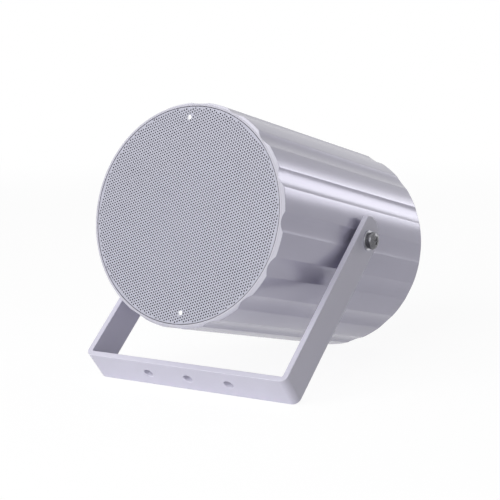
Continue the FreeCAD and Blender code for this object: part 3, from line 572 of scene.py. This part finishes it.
def shellBody(look):
    edge, length, lobe = look["rimEdge"], look["length"], look["lobe"]
    chamfer, ease = look["chamfer"], look["chamferEase"]
    rim = lobe - chamfer
    share = 1 - ease / math.hypot(chamfer, look["chamferLength"])
    onSlope = (rim + chamfer * share, look["chamferLength"] * share)
    onWall = (lobe, look["chamferLength"] + ease)
    straight = onWall[1] + look["settle"]     # from here to its twin the wall's shading is that of a straight wall
    outline = rounded([
        (rim, 0.0), onSlope, onWall, (lobe, straight), (lobe, length - straight), (lobe, length - onWall[1]),
        (onSlope[0], length - onSlope[1]), (rim, length),
        (look["recess"], length), (look["recess"], look["rearLedge"]),
        (look["bore"], look["rearLedge"]), (look["bore"], look["frontLedge"]),
        (look["recess"], look["frontLedge"]), (look["recess"], 0.0),
    ], {0: edge, 7: edge, 8: edge, 13: edge})
    mesh = lathe("shell", outline, angles=flutedAngles(look))
    inwards = mesh.attributes.new("inwards", "FLOAT", "POINT")
    along = mesh.attributes.new("along", "FLOAT", "POINT")
    for vertex in mesh.vertices:
        radius = math.hypot(vertex.co.x, vertex.co.z)
        if radius < rim + chamfer / 2:
            continue
        inwards.data[vertex.index].value = (radius - rim) / chamfer
        for end in (0.0, length):
            away = vertex.co.y - end
            if abs(away) < straight + 0.01:
                along.data[vertex.index].value = max(-onWall[1], min(onWall[1], away)) / chamfer
    made = fluteTree(look).applied("housing_shell", mesh)
    for name in ("inwards", "along"):
        made.data.attributes.remove(made.data.attributes[name])
    for side in (1, -1):
        for radius, start, end in ((look["seatRadius"], look["seatPlane"], lobe + 5),
                                   (look["insertRadius"], look["bore"] - 5, look["seatPlane"] + 1)):
            drill = lathe("drill", [(0, start), (radius, start), (radius, end), (0, end)], 64)
            drill.transform(Matrix.Translation((0, pivotDepth, 0))
                            @ Euler((0, 0, -side * math.pi / 2)).to_matrix().to_4x4())
            boolean(made, newObject("drill", drill))
    extras = [made.data]
    for index in range(4):
        angle = math.pi / 4 + math.pi / 2 * index
        tube = lathe("channel", [(look["holeRadius"], look["frontLedge"]),
                                 (look["channelRadius"], look["frontLedge"]),
                                 (look["channelRadius"], look["rearLedge"]),
                                 (look["holeRadius"], look["rearLedge"])], 32)
        tube.transform(Matrix.Translation((look["channelOffset"], 0, 0)))
        inner = look["channelOffset"] + look["channelRadius"] * 0.7
        outer = look["bore"] + 1.0
        depth = look["rearLedge"] - look["frontLedge"]
        neck = boxMesh("neck", (outer - inner, depth, look["channelNeck"]),
                       ((outer + inner) / 2, look["frontLedge"] + depth / 2, 0))
        for part in (tube, neck):
            part.transform(Matrix.Rotation(-angle, 4, "Y"))
            extras.append(part)
    made.data = joinedMesh("housing_shell", extras)
    return finishPiece(made, housingPlace, shellPaint, "housing", ["body_shell"], sharp=50, flats=False)


shellBody(shellSizes)
print("housing shell made")

grilleSizes = {"radius": 72.8, "front": 0.3, "thickness": 1.0, "margin": 0.5, "holeRadius": 0.55, "pitch": 2.0,
               "turn": 21.0, "frontSides": 8, "backSides": 6, "edgeSides": 256, "screwOffset": 65.5,
               "screwAngle": 95.0, "screwKeepOff": 2.3, "screwHole": 1.45}


def screwSpots(look):
    return roundPlaces(2, look["screwOffset"], look["screwAngle"])


def cellMesh(look):
    # one hexagon of the sheet with its hole, many-sided in front where it is seen
    def ringAt(radius, count, height, first=0.0):
        return [(radius * math.cos(first + 2 * math.pi * i / count),
                 radius * math.sin(first + 2 * math.pi * i / count), height) for i in range(count)]

    corner = look["pitch"] / math.sqrt(3)
    thick = look["thickness"]
    rings = [ringAt(corner, 6, thick, math.pi / 6), ringAt(look["holeRadius"], look["frontSides"], thick),
             ringAt(look["holeRadius"], look["backSides"], 0.0), ringAt(corner, 6, 0.0, math.pi / 6)]
    points, faces = [], []
    starts = []
    for ring in rings:
        starts.append(len(points))
        points += ring
    for index in range(3):                    # walks both rings round together, by angle
        first, second = rings[index], rings[index + 1]
        i = j = 0
        shift = 0.5 / 6 if index != 1 else 0.0
        while i < len(first) or j < len(second):
            a = starts[index] + i % len(first)
            b = starts[index + 1] + j % len(second)
            nextFirst = (i + 1) / len(first) + (shift if index == 0 else 0.0)
            nextSecond = (j + 1) / len(second) + (shift if index == 2 else 0.0)
            if j >= len(second) or (i < len(first) and nextFirst <= nextSecond):
                faces.append((a, starts[index] + (i + 1) % len(first), b))
                i += 1
            else:
                faces.append((a, starts[index + 1] + (j + 1) % len(second), b))
                j += 1
    return newMesh("cell", points, faces)


def grilleTree(look, cell):
    # sets the cells on a triangular lattice, short of the edge and of the screws
    tree = GeometryTree("perforation", {
        "Cell": cell, "Reach": look["radius"] - look["margin"] - look["holeRadius"], "Pitch": look["pitch"],
        "Rows": 2 * math.ceil(look["radius"] / look["pitch"] * 1.2) + 1, "Turn": math.radians(look["turn"]),
        "Screw keep off": look["screwKeepOff"], "Material": grillePaint})
    given = tree.given
    rowPitch = given["Pitch"] * math.sqrt(0.75)
    steps = given["Rows"] - 1
    grid = tree.node("GeometryNodeMeshGrid", {}, {"Size X": given["Pitch"] * steps, "Size Y": rowPitch * steps,
                                                  "Vertices X": given["Rows"], "Vertices Y": given["Rows"]})
    position = tree.node("GeometryNodeInputPosition")
    up = tree.node("ShaderNodeSeparateXYZ", {}, {"Vector": position}).other(1)
    odd = (up / rowPitch + given["Rows"]).calc("ROUND").calc("MODULO", 2.0)
    shift = tree.node("ShaderNodeCombineXYZ", {}, {0: odd * given["Pitch"] * 0.5})
    lattice = tree.node("GeometryNodeSetPosition", {}, {"Geometry": grid, "Offset": shift})
    far = tree.node("ShaderNodeVectorMath", {"operation": "LENGTH"}, {0: position}, 1) > given["Reach"]
    for x, y in screwSpots(look):
        spot = Vector((x, y, 0))
        spot.rotate(Euler((0, 0, -math.radians(look["turn"]))))
        near = tree.node("ShaderNodeVectorMath", {"operation": "DISTANCE"}, {0: position, 1: spot}, 1)
        far = far.calc("MAXIMUM", near < given["Screw keep off"])
    places = tree.node("GeometryNodeDeleteGeometry", {"domain": "POINT"}, {"Geometry": lattice, "Selection": far})
    info = tree.node("GeometryNodeObjectInfo", {}, {"Object": given["Cell"]}, "Geometry")
    cells = tree.node("GeometryNodeInstanceOnPoints", {}, {"Points": places, "Instance": info})
    whole = tree.node("GeometryNodeRealizeInstances", {}, {"Geometry": cells})
    merged = tree.node("GeometryNodeMergeByDistance", {}, {"Geometry": whole, "Distance": 0.002})
    tree.close(tree.node("GeometryNodeTransform", {}, {
        "Geometry": merged, "Rotation": tree.node("ShaderNodeCombineXYZ", {}, {2: given["Turn"]})}))
    return tree


def edgeLoops(shape, height):
    # closed rows of vertices along the open edges at one height
    ahead = {}
    for edge in shape.edges:
        if len(edge.link_faces) == 1 and all(abs(v.co.z - height) < 1e-3 for v in edge.verts):
            for a, b in (edge.verts, reversed(edge.verts)):
                ahead.setdefault(a, []).append(b)
    loops = []
    while ahead:
        start = next(iter(ahead))
        loop, last = [start], None
        while True:
            here = loop[-1]
            onward = next(v for v in ahead[here] if v is not last)
            last = here
            if onward is start:
                break
            loop.append(onward)
        for vertex in loop:
            ahead.pop(vertex, None)
        loops.append(loop)
    return sorted(loops, key=len, reverse=True)


def grillePlate(look):
    cell = newObject("cell", cellMesh(look))
    made = grilleTree(look, cell).applied("grille_plate", bpy.data.meshes.new("grille_plate"))
    bpy.data.objects.remove(cell)
    shape = bmesh.new()
    shape.from_mesh(made.data)
    rims = []                                 # the plain margin is filled in at both faces
    for height in (0.0, look["thickness"]):
        loops = edgeLoops(shape, height)
        zones = [[loops[0]]] + [[loop] for loop in loops[1:]]
        circles = [(0, 0, look["radius"], look["edgeSides"], 0)]
        for index, (x, y) in enumerate(screwSpots(look)):
            home = min(range(len(zones)), key=lambda zone: min(
                (v.co.xy - Vector((x, y))).length for v in zones[zone][0]))
            circles.append((x, y, look["screwHole"], 24, home))
        for x, y, radius, count, home in circles:
            ring = [shape.verts.new((*point, height)) for point, _ in circleLoop(x, y, radius, count)]
            zones[home].append(ring)
            rims.append(ring)
        for zone in zones:
            flat = [v for loop in zone for v in loop]
            for triangle in tessellate_polygon([[v.co for v in loop] for loop in zone]):
                shape.faces.new([flat[i] for i in triangle])
    half = len(rims) // 2
    for low, high in zip(rims[:half], rims[half:]):
        for i in range(len(low)):
            j = (i + 1) % len(low)
            shape.faces.new((low[i], low[j], high[j], high[i]))
    bmesh.ops.recalc_face_normals(shape, faces=shape.faces)
    upright = Matrix(((1, 0, 0, 0), (0, 0, -1, look["front"] + look["thickness"]), (0, 1, 0, 0), (0, 0, 0, 1)))
    shape.transform(upright)                  # from lying in XY to standing across the housing
    shape.to_mesh(made.data)
    shape.free()
    print("grille:", len(made.data.polygons), "faces")
    return finishPiece(made, housingPlace, grillePaint, "housing", ["grille"])


grillePlate(grilleSizes)


def grilleCloth(look):
    holes = [circleLoop(x, z, look["screwHole"], 16) for x, z in screwSpots(grilleSizes)]
    mesh = plate("cloth", circleLoop(0, 0, look["radius"], 96), holes, look["thickness"], 0.1, 1)
    made = newObject("acoustic_cloth", stoodUp(mesh, look["front"] + look["thickness"] / 2))
    finishPiece(made, housingPlace, clothFinish, "housing", ["grille_cloth"])
    return made


grilleCloth({"radius": 72.8, "front": 1.3, "thickness": 0.4, "screwHole": 1.45})
print("grille and cloth made")

strapSizes = {"halfWidth": 82.0, "baseDrop": 135.001, "strip": 25.0, "thickness": 4.0, "innerBend": 1.2,
              "endRadius": 17.0, "edge": 0.45, "holeSpacing": 33.0, "holeRadius": 3.5, "pivotHole": 4.05,
              "bendSteps": 10}


def bracketStrap(look):
    # cut flat with its holes and its ends' arcs, then bent at two corners
    half, thick = look["strip"] / 2, look["thickness"]
    bend = look["innerBend"] + thick / 2
    corner = look["innerBend"] + thick
    baseHalf = look["halfWidth"] - corner
    bendLength = bend * math.pi / 2
    armStart = baseHalf + bendLength
    pivotAlong = armStart + look["baseDrop"] - corner
    spread = math.asin(half / look["endRadius"])
    steps = 20
    outer = []
    for side in (1, -1):
        for step in range(steps + 1):
            a = spread * (2 * step / steps - 1)
            way = Vector((math.cos(a), math.sin(a))) * side
            spot = Vector((side * pivotAlong, 0)) + way * look["endRadius"]
            if step in (0, steps):            # the corner, where the arc meets the long edge
                edgeWay = Vector((0, math.copysign(1, spot.y)))
                way = (way + edgeWay) / (1 + way.dot(edgeWay))
            outer.append((spot, way))
    holes = [circleLoop(look["holeSpacing"] * i, 0, look["holeRadius"], 40) for i in (-1, 0, 1)]
    holes += [circleLoop(side * pivotAlong, 0, look["pivotHole"], 40) for side in (1, -1)]
    mesh = plate("strap", outer, holes, thick, look["edge"])
    shape = bmesh.new()
    shape.from_mesh(mesh)
    for side in (1, -1):
        for step in range(look["bendSteps"] + 1):
            at = side * (baseHalf + bendLength * step / look["bendSteps"])
            bmesh.ops.bisect_plane(shape, geom=shape.verts[:] + shape.edges[:] + shape.faces[:],
                                   plane_co=(at, 0, 0), plane_no=(1, 0, 0))
    for vertex in shape.verts:
        along, over, out = abs(vertex.co.x), vertex.co.y, vertex.co.z
        side = math.copysign(1, vertex.co.x)
        centre = Vector((baseHalf, -look["baseDrop"] + corner))
        if along <= baseHalf:
            across, up = along, -look["baseDrop"] + thick / 2 - out
        elif along < armStart:
            a = (along - baseHalf) / bend
            across = centre.x + (bend + out) * math.sin(a)
            up = centre.y - (bend + out) * math.cos(a)
        else:
            across, up = look["halfWidth"] - thick / 2 + out, centre.y + along - armStart
        vertex.co = Vector((side * across, over, up))
    bmesh.ops.recalc_face_normals(shape, faces=shape.faces)
    shape.to_mesh(mesh)
    shape.free()
    made = newObject("bracket_strap", mesh)
    return finishPiece(made, bracketPlace, bracketPaint, "bracket", ["bracket"], sharp=50)


bracketStrap(strapSizes)
print("bracket made")


def crossCutter(reach, width, depth, top):
    # a cross recess, wide at the head's face and narrow at its bottom
    bars = []
    for turn in (0, math.pi / 2):
        bar = boxMesh("bar", (2 * reach, depth + 1.0, width), (0, top + (depth + 1.0) / 2 - 1.0, 0))
        for vertex in bar.vertices:
            if vertex.co.y > top + depth / 2:
                vertex.co.x *= 0.45
                vertex.co.z *= 0.6
        bar.transform(Matrix.Rotation(turn, 4, "Y"))
        bars.append(newObject("bar", bar))
    return boolean(bars[0], bars[1], "UNION")


def panHead(name, look):
    # the underside of the head at the origin and the shank along +Y
    radius, height, shank = look["headRadius"], look["headHeight"], look["shankRadius"]
    steps, rim = 8, 0.22                      # the rim's share of the head's height
    crown = [(0, -height)]
    for step in range(1, steps):
        a = math.pi / 2 * step / steps
        crown.append((radius * math.sin(a) ** 0.8, -height * (rim + (1 - rim) * math.cos(a) ** 0.7)))
    crown.append((radius, -height * rim))
    outline = crown + [(radius, -0.15), (radius - 0.15, 0), (shank, 0), (shank, look["length"] - 0.6),
                       (shank - 0.6, look["length"]), (0, look["length"])]
    made = newObject(name, lathe(name, outline, look["segments"]))
    cutter = crossCutter(radius * 0.56, radius * 0.26, height * 0.55, -height)
    return boolean(made, cutter)


def repeatTree(name, source, count, radius, phase, depth, flip, material):
    # sets copies of one piece round the housing's axis
    tree = GeometryTree(name, {"Piece": source, "Count": count, "Ring radius": radius, "Depth": depth,
                               "Phase": math.radians(phase), "Flip": flip, "Material": material})
    given = tree.given
    # separate points, because a mesh circle of two points comes out empty
    angle = tree.node("GeometryNodeInputIndex") * (2 * math.pi) / given["Count"] + given["Phase"]
    place = tree.node("ShaderNodeCombineXYZ", {}, {
        0: angle.calc("COSINE") * given["Ring radius"], 1: given["Depth"],
        2: angle.calc("SINE") * given["Ring radius"]})
    points = tree.node("GeometryNodePoints", {}, {"Count": given["Count"], "Position": place})
    info = tree.node("GeometryNodeObjectInfo", {}, {"Object": given["Piece"]}, "Geometry")
    copies = tree.node("GeometryNodeInstanceOnPoints", {}, {
        "Points": points, "Instance": info,
        "Rotation": tree.node("ShaderNodeCombineXYZ", {}, {2: given["Flip"]})})
    tree.close(copies)
    return tree


def screwRing(name, look, material, node):
    screw = panHead("screw", look)
    tree = repeatTree(name, screw, look["count"], look["ring"], look["phase"], look["depth"],
                      math.pi if look["fromRear"] else 0.0, material)
    made = tree.applied(name, bpy.data.meshes.new(name))
    bpy.data.objects.remove(screw)
    return finishPiece(made, housingPlace, material, "housing", [node], sharp=40)


coverScrews = {"headRadius": 3.9, "headHeight": 2.6, "shankRadius": 1.95, "length": 12.0, "segments": 40,
               "count": 4, "ring": 66.6, "phase": 45.0, "depth": 203.4, "fromRear": True}
grilleScrews = {"headRadius": 1.8, "headHeight": 0.8, "shankRadius": 1.2, "length": 6.0, "segments": 32,
                "count": 2, "ring": 65.5, "phase": 95.0, "depth": 0.3, "fromRear": False}
screwRing("cover_screw_set", coverScrews, brightZinc, "rear_cover_screws")
screwRing("grille_screw_set", grilleScrews, brightZinc, "grille_screws")


def washer(name, outer, inner, start, thickness, edge=0.15):
    end = start + thickness
    corners = [(inner, start), (outer, start), (outer, end), (inner, end)]
    return lathe(name, rounded(corners, {i: edge for i in range(4)}, 2), 64)


def pivotPair(name, mesh, material, node, sharp=40):
    # the piece stands along +Y from the seat; one copy goes on each side
    meshes = []
    for side in (1, -1):
        copy = mesh.copy()
        copy.transform(Matrix.Translation((side * shellSizes["seatPlane"], pivotDepth, 0))
                       @ Matrix.Rotation(-side * math.pi / 2, 4, "Z"))
        meshes.append(copy)
    made = newObject(name, joinedMesh(name, meshes))
    return finishPiece(made, housingPlace, material, "housing", [node], sharp=sharp)


pivotStack = {"armOut": 7.5, "armIn": 3.5, "washerRadius": 7.0, "washerThickness": 1.2, "springRadius": 5.6,
              "springThickness": 1.6, "split": 1.2, "hole": 3.2, "spacerRadius": 6.0, "collarRadius": 4.0,
              "insertFlange": 0.8, "collarEnd": 7.3}


def springWasher(look):
    start = look["armOut"] + look["washerThickness"]
    mesh = washer("spring", look["springRadius"], look["hole"], start, look["springThickness"], 0.12)
    made = newObject("spring", mesh)
    slot = boxMesh("slot", (look["split"], look["springThickness"] + 2, look["springRadius"] + 2),
                   (0, start + look["springThickness"] / 2, look["springRadius"] / 2 + 2.5))
    boolean(made, newObject("slot", slot))
    cutMesh = made.data
    bpy.data.objects.remove(made)
    return cutMesh


pivotPair("flat_washer_pair", washer("washer", pivotStack["washerRadius"], pivotStack["hole"], pivotStack["armOut"],
                                     pivotStack["washerThickness"]), stainless, "flat_washers")
pivotPair("spring_washer_pair", springWasher(pivotStack), darkZinc, "spring_washers")
spacerOutline = [(pivotStack["hole"], pivotStack["insertFlange"]),
                 (pivotStack["spacerRadius"], pivotStack["insertFlange"]),
                 (pivotStack["spacerRadius"], pivotStack["armIn"]), (pivotStack["collarRadius"], pivotStack["armIn"]),
                 (pivotStack["collarRadius"], pivotStack["collarEnd"]), (pivotStack["hole"], pivotStack["collarEnd"])]
pivotPair("pivot_spacer_pair", lathe("spacer", rounded(spacerOutline, {1: 0.3, 2: 0.3, 4: 0.2}, 2), 64),
          blackNylon, "pivot_spacers")
pivotScrew = panHead("pivot", {"headRadius": 6.0, "headHeight": 4.2, "shankRadius": 3.0, "length": 20.0,
                               "segments": 64})
pivotMesh = pivotScrew.data.copy()
bpy.data.objects.remove(pivotScrew)
headSeat = pivotStack["armOut"] + pivotStack["washerThickness"] + pivotStack["springThickness"]
pivotMesh.transform(Matrix.Translation((0, headSeat, 0)) @ Matrix.Rotation(math.pi, 4, "Z"))
pivotPair("pivot_screw_pair", pivotMesh, darkZinc, "pivot_screws")
print("fasteners made")

coverSizes = {"radius": 72.8, "front": 200.4, "thickness": 3.0, "edge": 0.5, "screwRing": 66.6, "screwHole": 2.2,
              "glandUp": -38.0, "glandHole": 8.2, "ribUp": 22.0, "rib": (77.2, 6.0, 13.0)}


def rearCover(look):
    holes = [circleLoop(x, z, look["screwHole"], 24) for x, z in roundPlaces(4, look["screwRing"], 45)]
    holes.append(circleLoop(0, look["glandUp"], look["glandHole"], 48))
    mesh = plate("cover", circleLoop(0, 0, look["radius"], 160), holes, look["thickness"], look["edge"])
    stoodUp(mesh, look["front"] + look["thickness"] / 2)
    depth = look["rib"][1]
    rib = boxMesh("rib", look["rib"], (0, look["front"] - depth / 2, look["ribUp"]))
    made = newObject("rear_cover_plate", joinedMesh("rear_cover_plate", [mesh, rib]))
    return finishPiece(made, housingPlace, coverPaint, "housing", ["rear_cover"])


rearCover(coverSizes)

glandSizes = {"up": -38.0, "flats": 20.0, "hexFront": 204.6, "hexHeight": 5.0, "neckRadius": 7.4, "neckLength": 8.0,
              "boreRadius": 5.2, "shankRadius": 8.0, "shankFront": 192.4, "capFront": 209.8, "capLength": 11.0,
              "mouthRadius": 5.0, "endWall": 2.0, "capRound": 2.4, "sealRadius": 5.15, "sealBore": 3.5,
              "sealLength": 9.0}


def hexagonPrism(name, flats, start, length):
    corner = flats / math.sqrt(3)
    points = []
    for y in (start, start + length):
        points += [(corner * math.cos(math.radians(60 * i + 30)), y, corner * math.sin(math.radians(60 * i + 30)))
                   for i in range(6)]
    faces = [tuple(range(6)), tuple(range(6, 12))]
    faces += [(i, (i + 1) % 6, (i + 1) % 6 + 6, i + 6) for i in range(6)]
    return cleanMesh(newMesh(name, points, faces))


def turnedHexagon(name, look, start, length, domed, bore):
    # a hexagon whose corners are taken off by a turned form
    corner = look["flats"] / math.sqrt(3)
    off = corner - look["flats"] / 2
    end = start + length
    dome = look["capRound"] if domed else 0.0
    form = [(0, start), (corner - off * 0.9, start), (corner, start + off * 0.5)]
    if domed:
        form += [(corner, end - dome * 1.4)]
        form += [(corner - 1.7 * dome * (1 - math.cos(a)), end - dome * 1.4 * (1 - math.sin(a)))
                 for a in (math.pi / 2 * i / 8 for i in range(1, 9))]
    else:
        form += [(corner, end - off * 0.5), (corner - off * 0.9, end)]
    form.append((0, end))
    made = newObject(name, hexagonPrism(name, look["flats"], start, length))
    boolean(made, newObject("form", lathe("form", form, 72)), "INTERSECT")
    for radius, low, high in bore:
        drill = lathe("drill", [(0, low), (radius, low), (radius, high), (0, high)], 64)
        boolean(made, newObject("drill", drill))
    return made


def gland(look):
    capEnd = look["capFront"] + look["capLength"]
    cap = turnedHexagon("gland_cap", look, look["capFront"], look["capLength"], True,
                        [(look["neckRadius"] + 0.05, look["capFront"] - 1, capEnd - look["endWall"]),
                         (look["mouthRadius"], capEnd - look["endWall"] - 1, capEnd + 1)])
    base = turnedHexagon("gland_base", look, look["hexFront"], look["hexHeight"], False,
                         [(look["boreRadius"], look["hexFront"] - 1, look["hexFront"] + look["hexHeight"] + 1)])
    hexEnd = look["hexFront"] + look["hexHeight"]
    neck = washer("neck", look["neckRadius"], look["boreRadius"], hexEnd, look["neckLength"], 0.3)
    shank = washer("shank", look["shankRadius"], look["boreRadius"], look["shankFront"],
                   look["hexFront"] - look["shankFront"], 0.3)
    base.data = joinedMesh("gland_base", [base.data, neck, shank])
    seal = newObject("gland_seal_ring", washer("seal", look["sealRadius"], look["sealBore"],
                                               capEnd - look["sealLength"], look["sealLength"], 0.5))
    lift = housingPlace @ Matrix.Translation((0, 0, look["up"]))
    finishPiece(cap, lift, greyNylon, "housing", ["gland_cap_nut"], bevel=0.25)
    finishPiece(base, lift, greyNylon, "housing", ["gland_body"])
    finishPiece(seal, lift, blackRubber, "housing", ["gland_seal"])


gland(glandSizes)
print("rear cover and gland made")

# finishes of the pieces that stay as the frame has them
kept = {
    "front_baffle": (blackNylon, "baffle_black"),
    "baffle_screws": (brightZinc, "screw_steel"),
    "driver_gasket": (blackRubber, "gasket_rubber"),
    "driver_basket": (plainPlastic("black_basket_paint", {
        "dark": (0.04, 0.04, 0.04), "light": (0.065, 0.065, 0.065), "grainScale": 1.5, "grainDepth": 0.03,
        "stainScale": 0.2, "roughLow": 0.3, "roughHigh": 0.42}), "basket_black"),
    "driver_screws": (brightZinc, "screw_steel"),
    "surround": (blackRubber, "surround_rubber"),
    "cone": (plainPlastic("pressed_paper", {
        "dark": (0.06, 0.06, 0.06), "light": (0.12, 0.12, 0.115), "grainScale": 1.0, "grainDepth": 0.12,
        "stainScale": 0.25, "roughLow": 0.75, "roughHigh": 0.9}), "cone_paper"),
    "coil_former": (plainMetal("aluminium_foil", {
        "dark": (0.72, 0.72, 0.72), "light": (0.82, 0.82, 0.82), "grainScale": 2.0, "grainDepth": 0.01,
        "stainScale": 0.3, "roughLow": 0.3, "roughHigh": 0.4}), "former_aluminium"),
    "coil_winding": (plainMetal("enamelled_copper", {
        "dark": (0.5, 0.22, 0.1), "light": (0.78, 0.4, 0.22), "grainScale": 4.0, "grainDepth": 0.05,
        "stainScale": 0.5, "roughLow": 0.25, "roughHigh": 0.4}), "copper_winding"),
    "spider": (plainPlastic("varnished_cloth", {
        "dark": (0.6, 0.42, 0.16), "light": (0.78, 0.6, 0.3), "grainScale": 3.0, "grainDepth": 0.1,
        "stainScale": 0.3, "roughLow": 0.6, "roughHigh": 0.75}), "spider_cloth"),
    "top_plate": (plainMetal("yellow_zinc", {
        "dark": (0.5, 0.48, 0.4), "light": (0.7, 0.68, 0.58), "grainScale": 2.0, "grainDepth": 0.02,
        "stainScale": 0.2, "roughLow": 0.3, "roughHigh": 0.42}), "zinc_plate"),
    "ring_magnet": (plainPlastic("fired_ferrite", {
        "dark": (0.05, 0.05, 0.055), "light": (0.1, 0.1, 0.105), "grainScale": 1.2, "grainDepth": 0.06,
        "stainScale": 0.2, "roughLow": 0.5, "roughHigh": 0.7}), "ferrite"),
    "terminal_strip": (plainPlastic("pressed_board", {
        "dark": (0.25, 0.13, 0.06), "light": (0.42, 0.25, 0.13), "grainScale": 1.5, "grainDepth": 0.04,
        "stainScale": 0.4, "roughLow": 0.5, "roughHigh": 0.65}), "board_brown"),
    "solder_lugs": (plainMetal("tinned_brass", {
        "dark": (0.6, 0.58, 0.53), "light": (0.76, 0.74, 0.7), "grainScale": 2.0, "grainDepth": 0.02,
        "stainScale": 0.5, "roughLow": 0.25, "roughHigh": 0.4}), "tinned_brass"),
    "transformer_core": (plainPlastic("varnished_laminations", {
        "dark": (0.08, 0.08, 0.085), "light": (0.2, 0.2, 0.21), "grainScale": 2.5, "grainDepth": 0.08,
        "stainScale": 0.3, "roughLow": 0.35, "roughHigh": 0.5}), "core_iron"),
    "transformer_bobbin": (plainPlastic("natural_nylon", {
        "dark": (0.76, 0.73, 0.64), "light": (0.85, 0.83, 0.76), "grainScale": 1.5, "grainDepth": 0.02,
        "stainScale": 0.2, "roughLow": 0.4, "roughHigh": 0.55}), "bobbin_nylon"),
    "lead": (plainPlastic("lead_insulation", {
        "dark": (0.05, 0.05, 0.05), "light": (0.09, 0.09, 0.09), "grainScale": 1.5, "grainDepth": 0.02,
        "stainScale": 0.3, "roughLow": 0.45, "roughHigh": 0.6}), "lead_black"),
    "terminal_block": (plainPlastic("moulded_white", {
        "dark": (0.78, 0.78, 0.74), "light": (0.86, 0.86, 0.83), "grainScale": 1.5, "grainDepth": 0.02,
        "stainScale": 0.2, "roughLow": 0.4, "roughHigh": 0.52}), "block_white"),
    "pivot_inserts": (plainMetal("plain_brass", {
        "dark": (0.6, 0.44, 0.2), "light": (0.78, 0.62, 0.34), "grainScale": 2.0, "grainDepth": 0.02,
        "stainScale": 0.4, "roughLow": 0.28, "roughHigh": 0.42}), "insert_brass"),
    "gland": (greyNylon, "gland_grey"),
}
sameAs = {
    "dust_cap": "cone", "pole_yoke": "top_plate", "transformer_winding": "coil_winding",
    "transformer_clamp": "top_plate", "transformer_screws": "driver_screws", "driver_leads": "lead",
    "input_leads": "lead", "terminal_clamp_screws": "driver_screws", "terminal_block_screws": "driver_screws",
    "rear_gasket": "driver_gasket", "gland_washer": "driver_gasket", "gland_lock_nut": "gland",
}
for name, part in frame["nodes"].items():
    if part.hide_render:
        continue
    material, slot = kept[sameAs.get(name, name)]
    part.data.materials.clear()
    part.data.materials.append(material)
print("frame's own pieces finished")

studio = {"floorColour": (0.9, 0.9, 0.91), "seenColour": 0.12, "floorGlow": 0.92, "clearFrom": 0.9, "clearTo": 1.8,
          "floorHalf": 6.0, "worldColour": (0.98, 0.98, 1.0), "worldLight": 0.08}


def seenRays(net):                            # rays that show the background, straight or in metal and glass
    paths = net.node("ShaderNodeLightPath", {}, {}, "Is Camera Ray")
    return paths.calc("MAXIMUM", paths.other("Is Glossy Ray")).calc("MAXIMUM", paths.other("Is Transmission Ray"))


def studioFloor(look):
    half = look["floorHalf"]
    mesh = newMesh("floor", [(-half, -half, 0), (half, -half, 0), (half, half, 0), (-half, half, 0)], [(0, 1, 2, 3)])
    floor = newObject("floor", mesh)
    material, net = newMaterial("white_floor")
    point = net.node("ShaderNodeTexCoord", {}, {}, "Object")
    away = net.node("ShaderNodeVectorMath", {"operation": "LENGTH"}, {0: point}, 1)
    clear = net.node("ShaderNodeMapRange", {"interpolation_type": "SMOOTHSTEP"},
                     {0: away, 1: look["clearFrom"], 2: look["clearTo"]})
    seen = seenRays(net)
    matt = net.node("ShaderNodeBsdfDiffuse", {}, {"Color": (*look["floorColour"], 1)})
    shade = net.node("ShaderNodeBsdfDiffuse", {}, {"Color": (*[look["seenColour"]] * 3, 1)})
    glow = net.node("ShaderNodeEmission", {}, {"Color": (1, 1, 1, 1), "Strength": look["floorGlow"]})
    bright = net.node("ShaderNodeAddShader", {}, {0: shade, 1: glow})
    near = net.node("ShaderNodeMixShader", {}, {0: seen, 1: matt, 2: bright})
    white = net.node("ShaderNodeEmission", {}, {"Color": (1, 1, 1, 1), "Strength": 1.0})
    both = net.node("ShaderNodeMixShader", {}, {0: seen * clear, 1: near, 2: white})
    net.node("ShaderNodeOutputMaterial", {}, {"Surface": both})
    mesh.materials.append(material)


def studioWorld(look):
    world = bpy.data.worlds.new("studio")
    world.use_nodes = True
    world.node_tree.nodes.clear()
    bpy.context.scene.world = world
    net = Net(world.node_tree)
    seen = seenRays(net)
    lit = net.node("ShaderNodeBackground", {}, {"Color": (*look["worldColour"], 1), "Strength": look["worldLight"]})
    white = net.node("ShaderNodeBackground", {}, {"Color": (1, 1, 1, 1), "Strength": 1.0})
    both = net.node("ShaderNodeMixShader", {}, {0: seen, 1: lit, 2: white})
    net.node("ShaderNodeOutputWorld", {}, {"Surface": both})


def softbox(name, place, aim, size, power, roll=0.0):
    light = bpy.data.lights.new(name, "AREA")
    light.shape = "RECTANGLE"
    light.size, light.size_y = size
    light.energy = power
    lamp = bpy.data.objects.new(name, light)
    bpy.context.scene.collection.objects.link(lamp)
    way = Vector(aim) - Vector(place)
    lamp.location = place
    lamp.rotation_euler = (way.to_track_quat("-Z", "Y") @ Quaternion((0, 0, 1), math.radians(roll))).to_euler()
    lamp.visible_camera = False


studioFloor(studio)
studioWorld(studio)
softbox("front", (-0.2, -1.9, 0.9), (0, 0, 0.1), (2.0, 2.0), 41.0)
softbox("stripe", (0.740, 2.270, 0.562), (-0.636, 1.853, -1.360), (1.8, 0.74), 12.2, -17.5)
softbox("top", (-0.6, 0.0, 2.1), (-0.6, 0.001, 0), (3.0, 3.0), 12.0)

view = {"lens": 104.986, "shiftX": 0.0016787, "shiftY": -0.0029782, "place": (0.558636, -0.883483, 0.242586),
        "turn": (81.45242, 0.68972, 32.86701)}
lens = bpy.data.cameras.new("camera")
lens.sensor_width = 36.0
lens.lens = view["lens"]
lens.shift_x, lens.shift_y = view["shiftX"], view["shiftY"]
lens.clip_start, lens.clip_end = 0.02, 50.0
camera = bpy.data.objects.new("camera", lens)
bpy.context.scene.collection.objects.link(camera)
camera.location = view["place"]
camera.rotation_euler = Euler([math.radians(a) for a in view["turn"]], "XYZ")
bpy.context.scene.camera = camera
bpy.context.scene.view_settings.view_transform = "Standard"
print("studio ready")
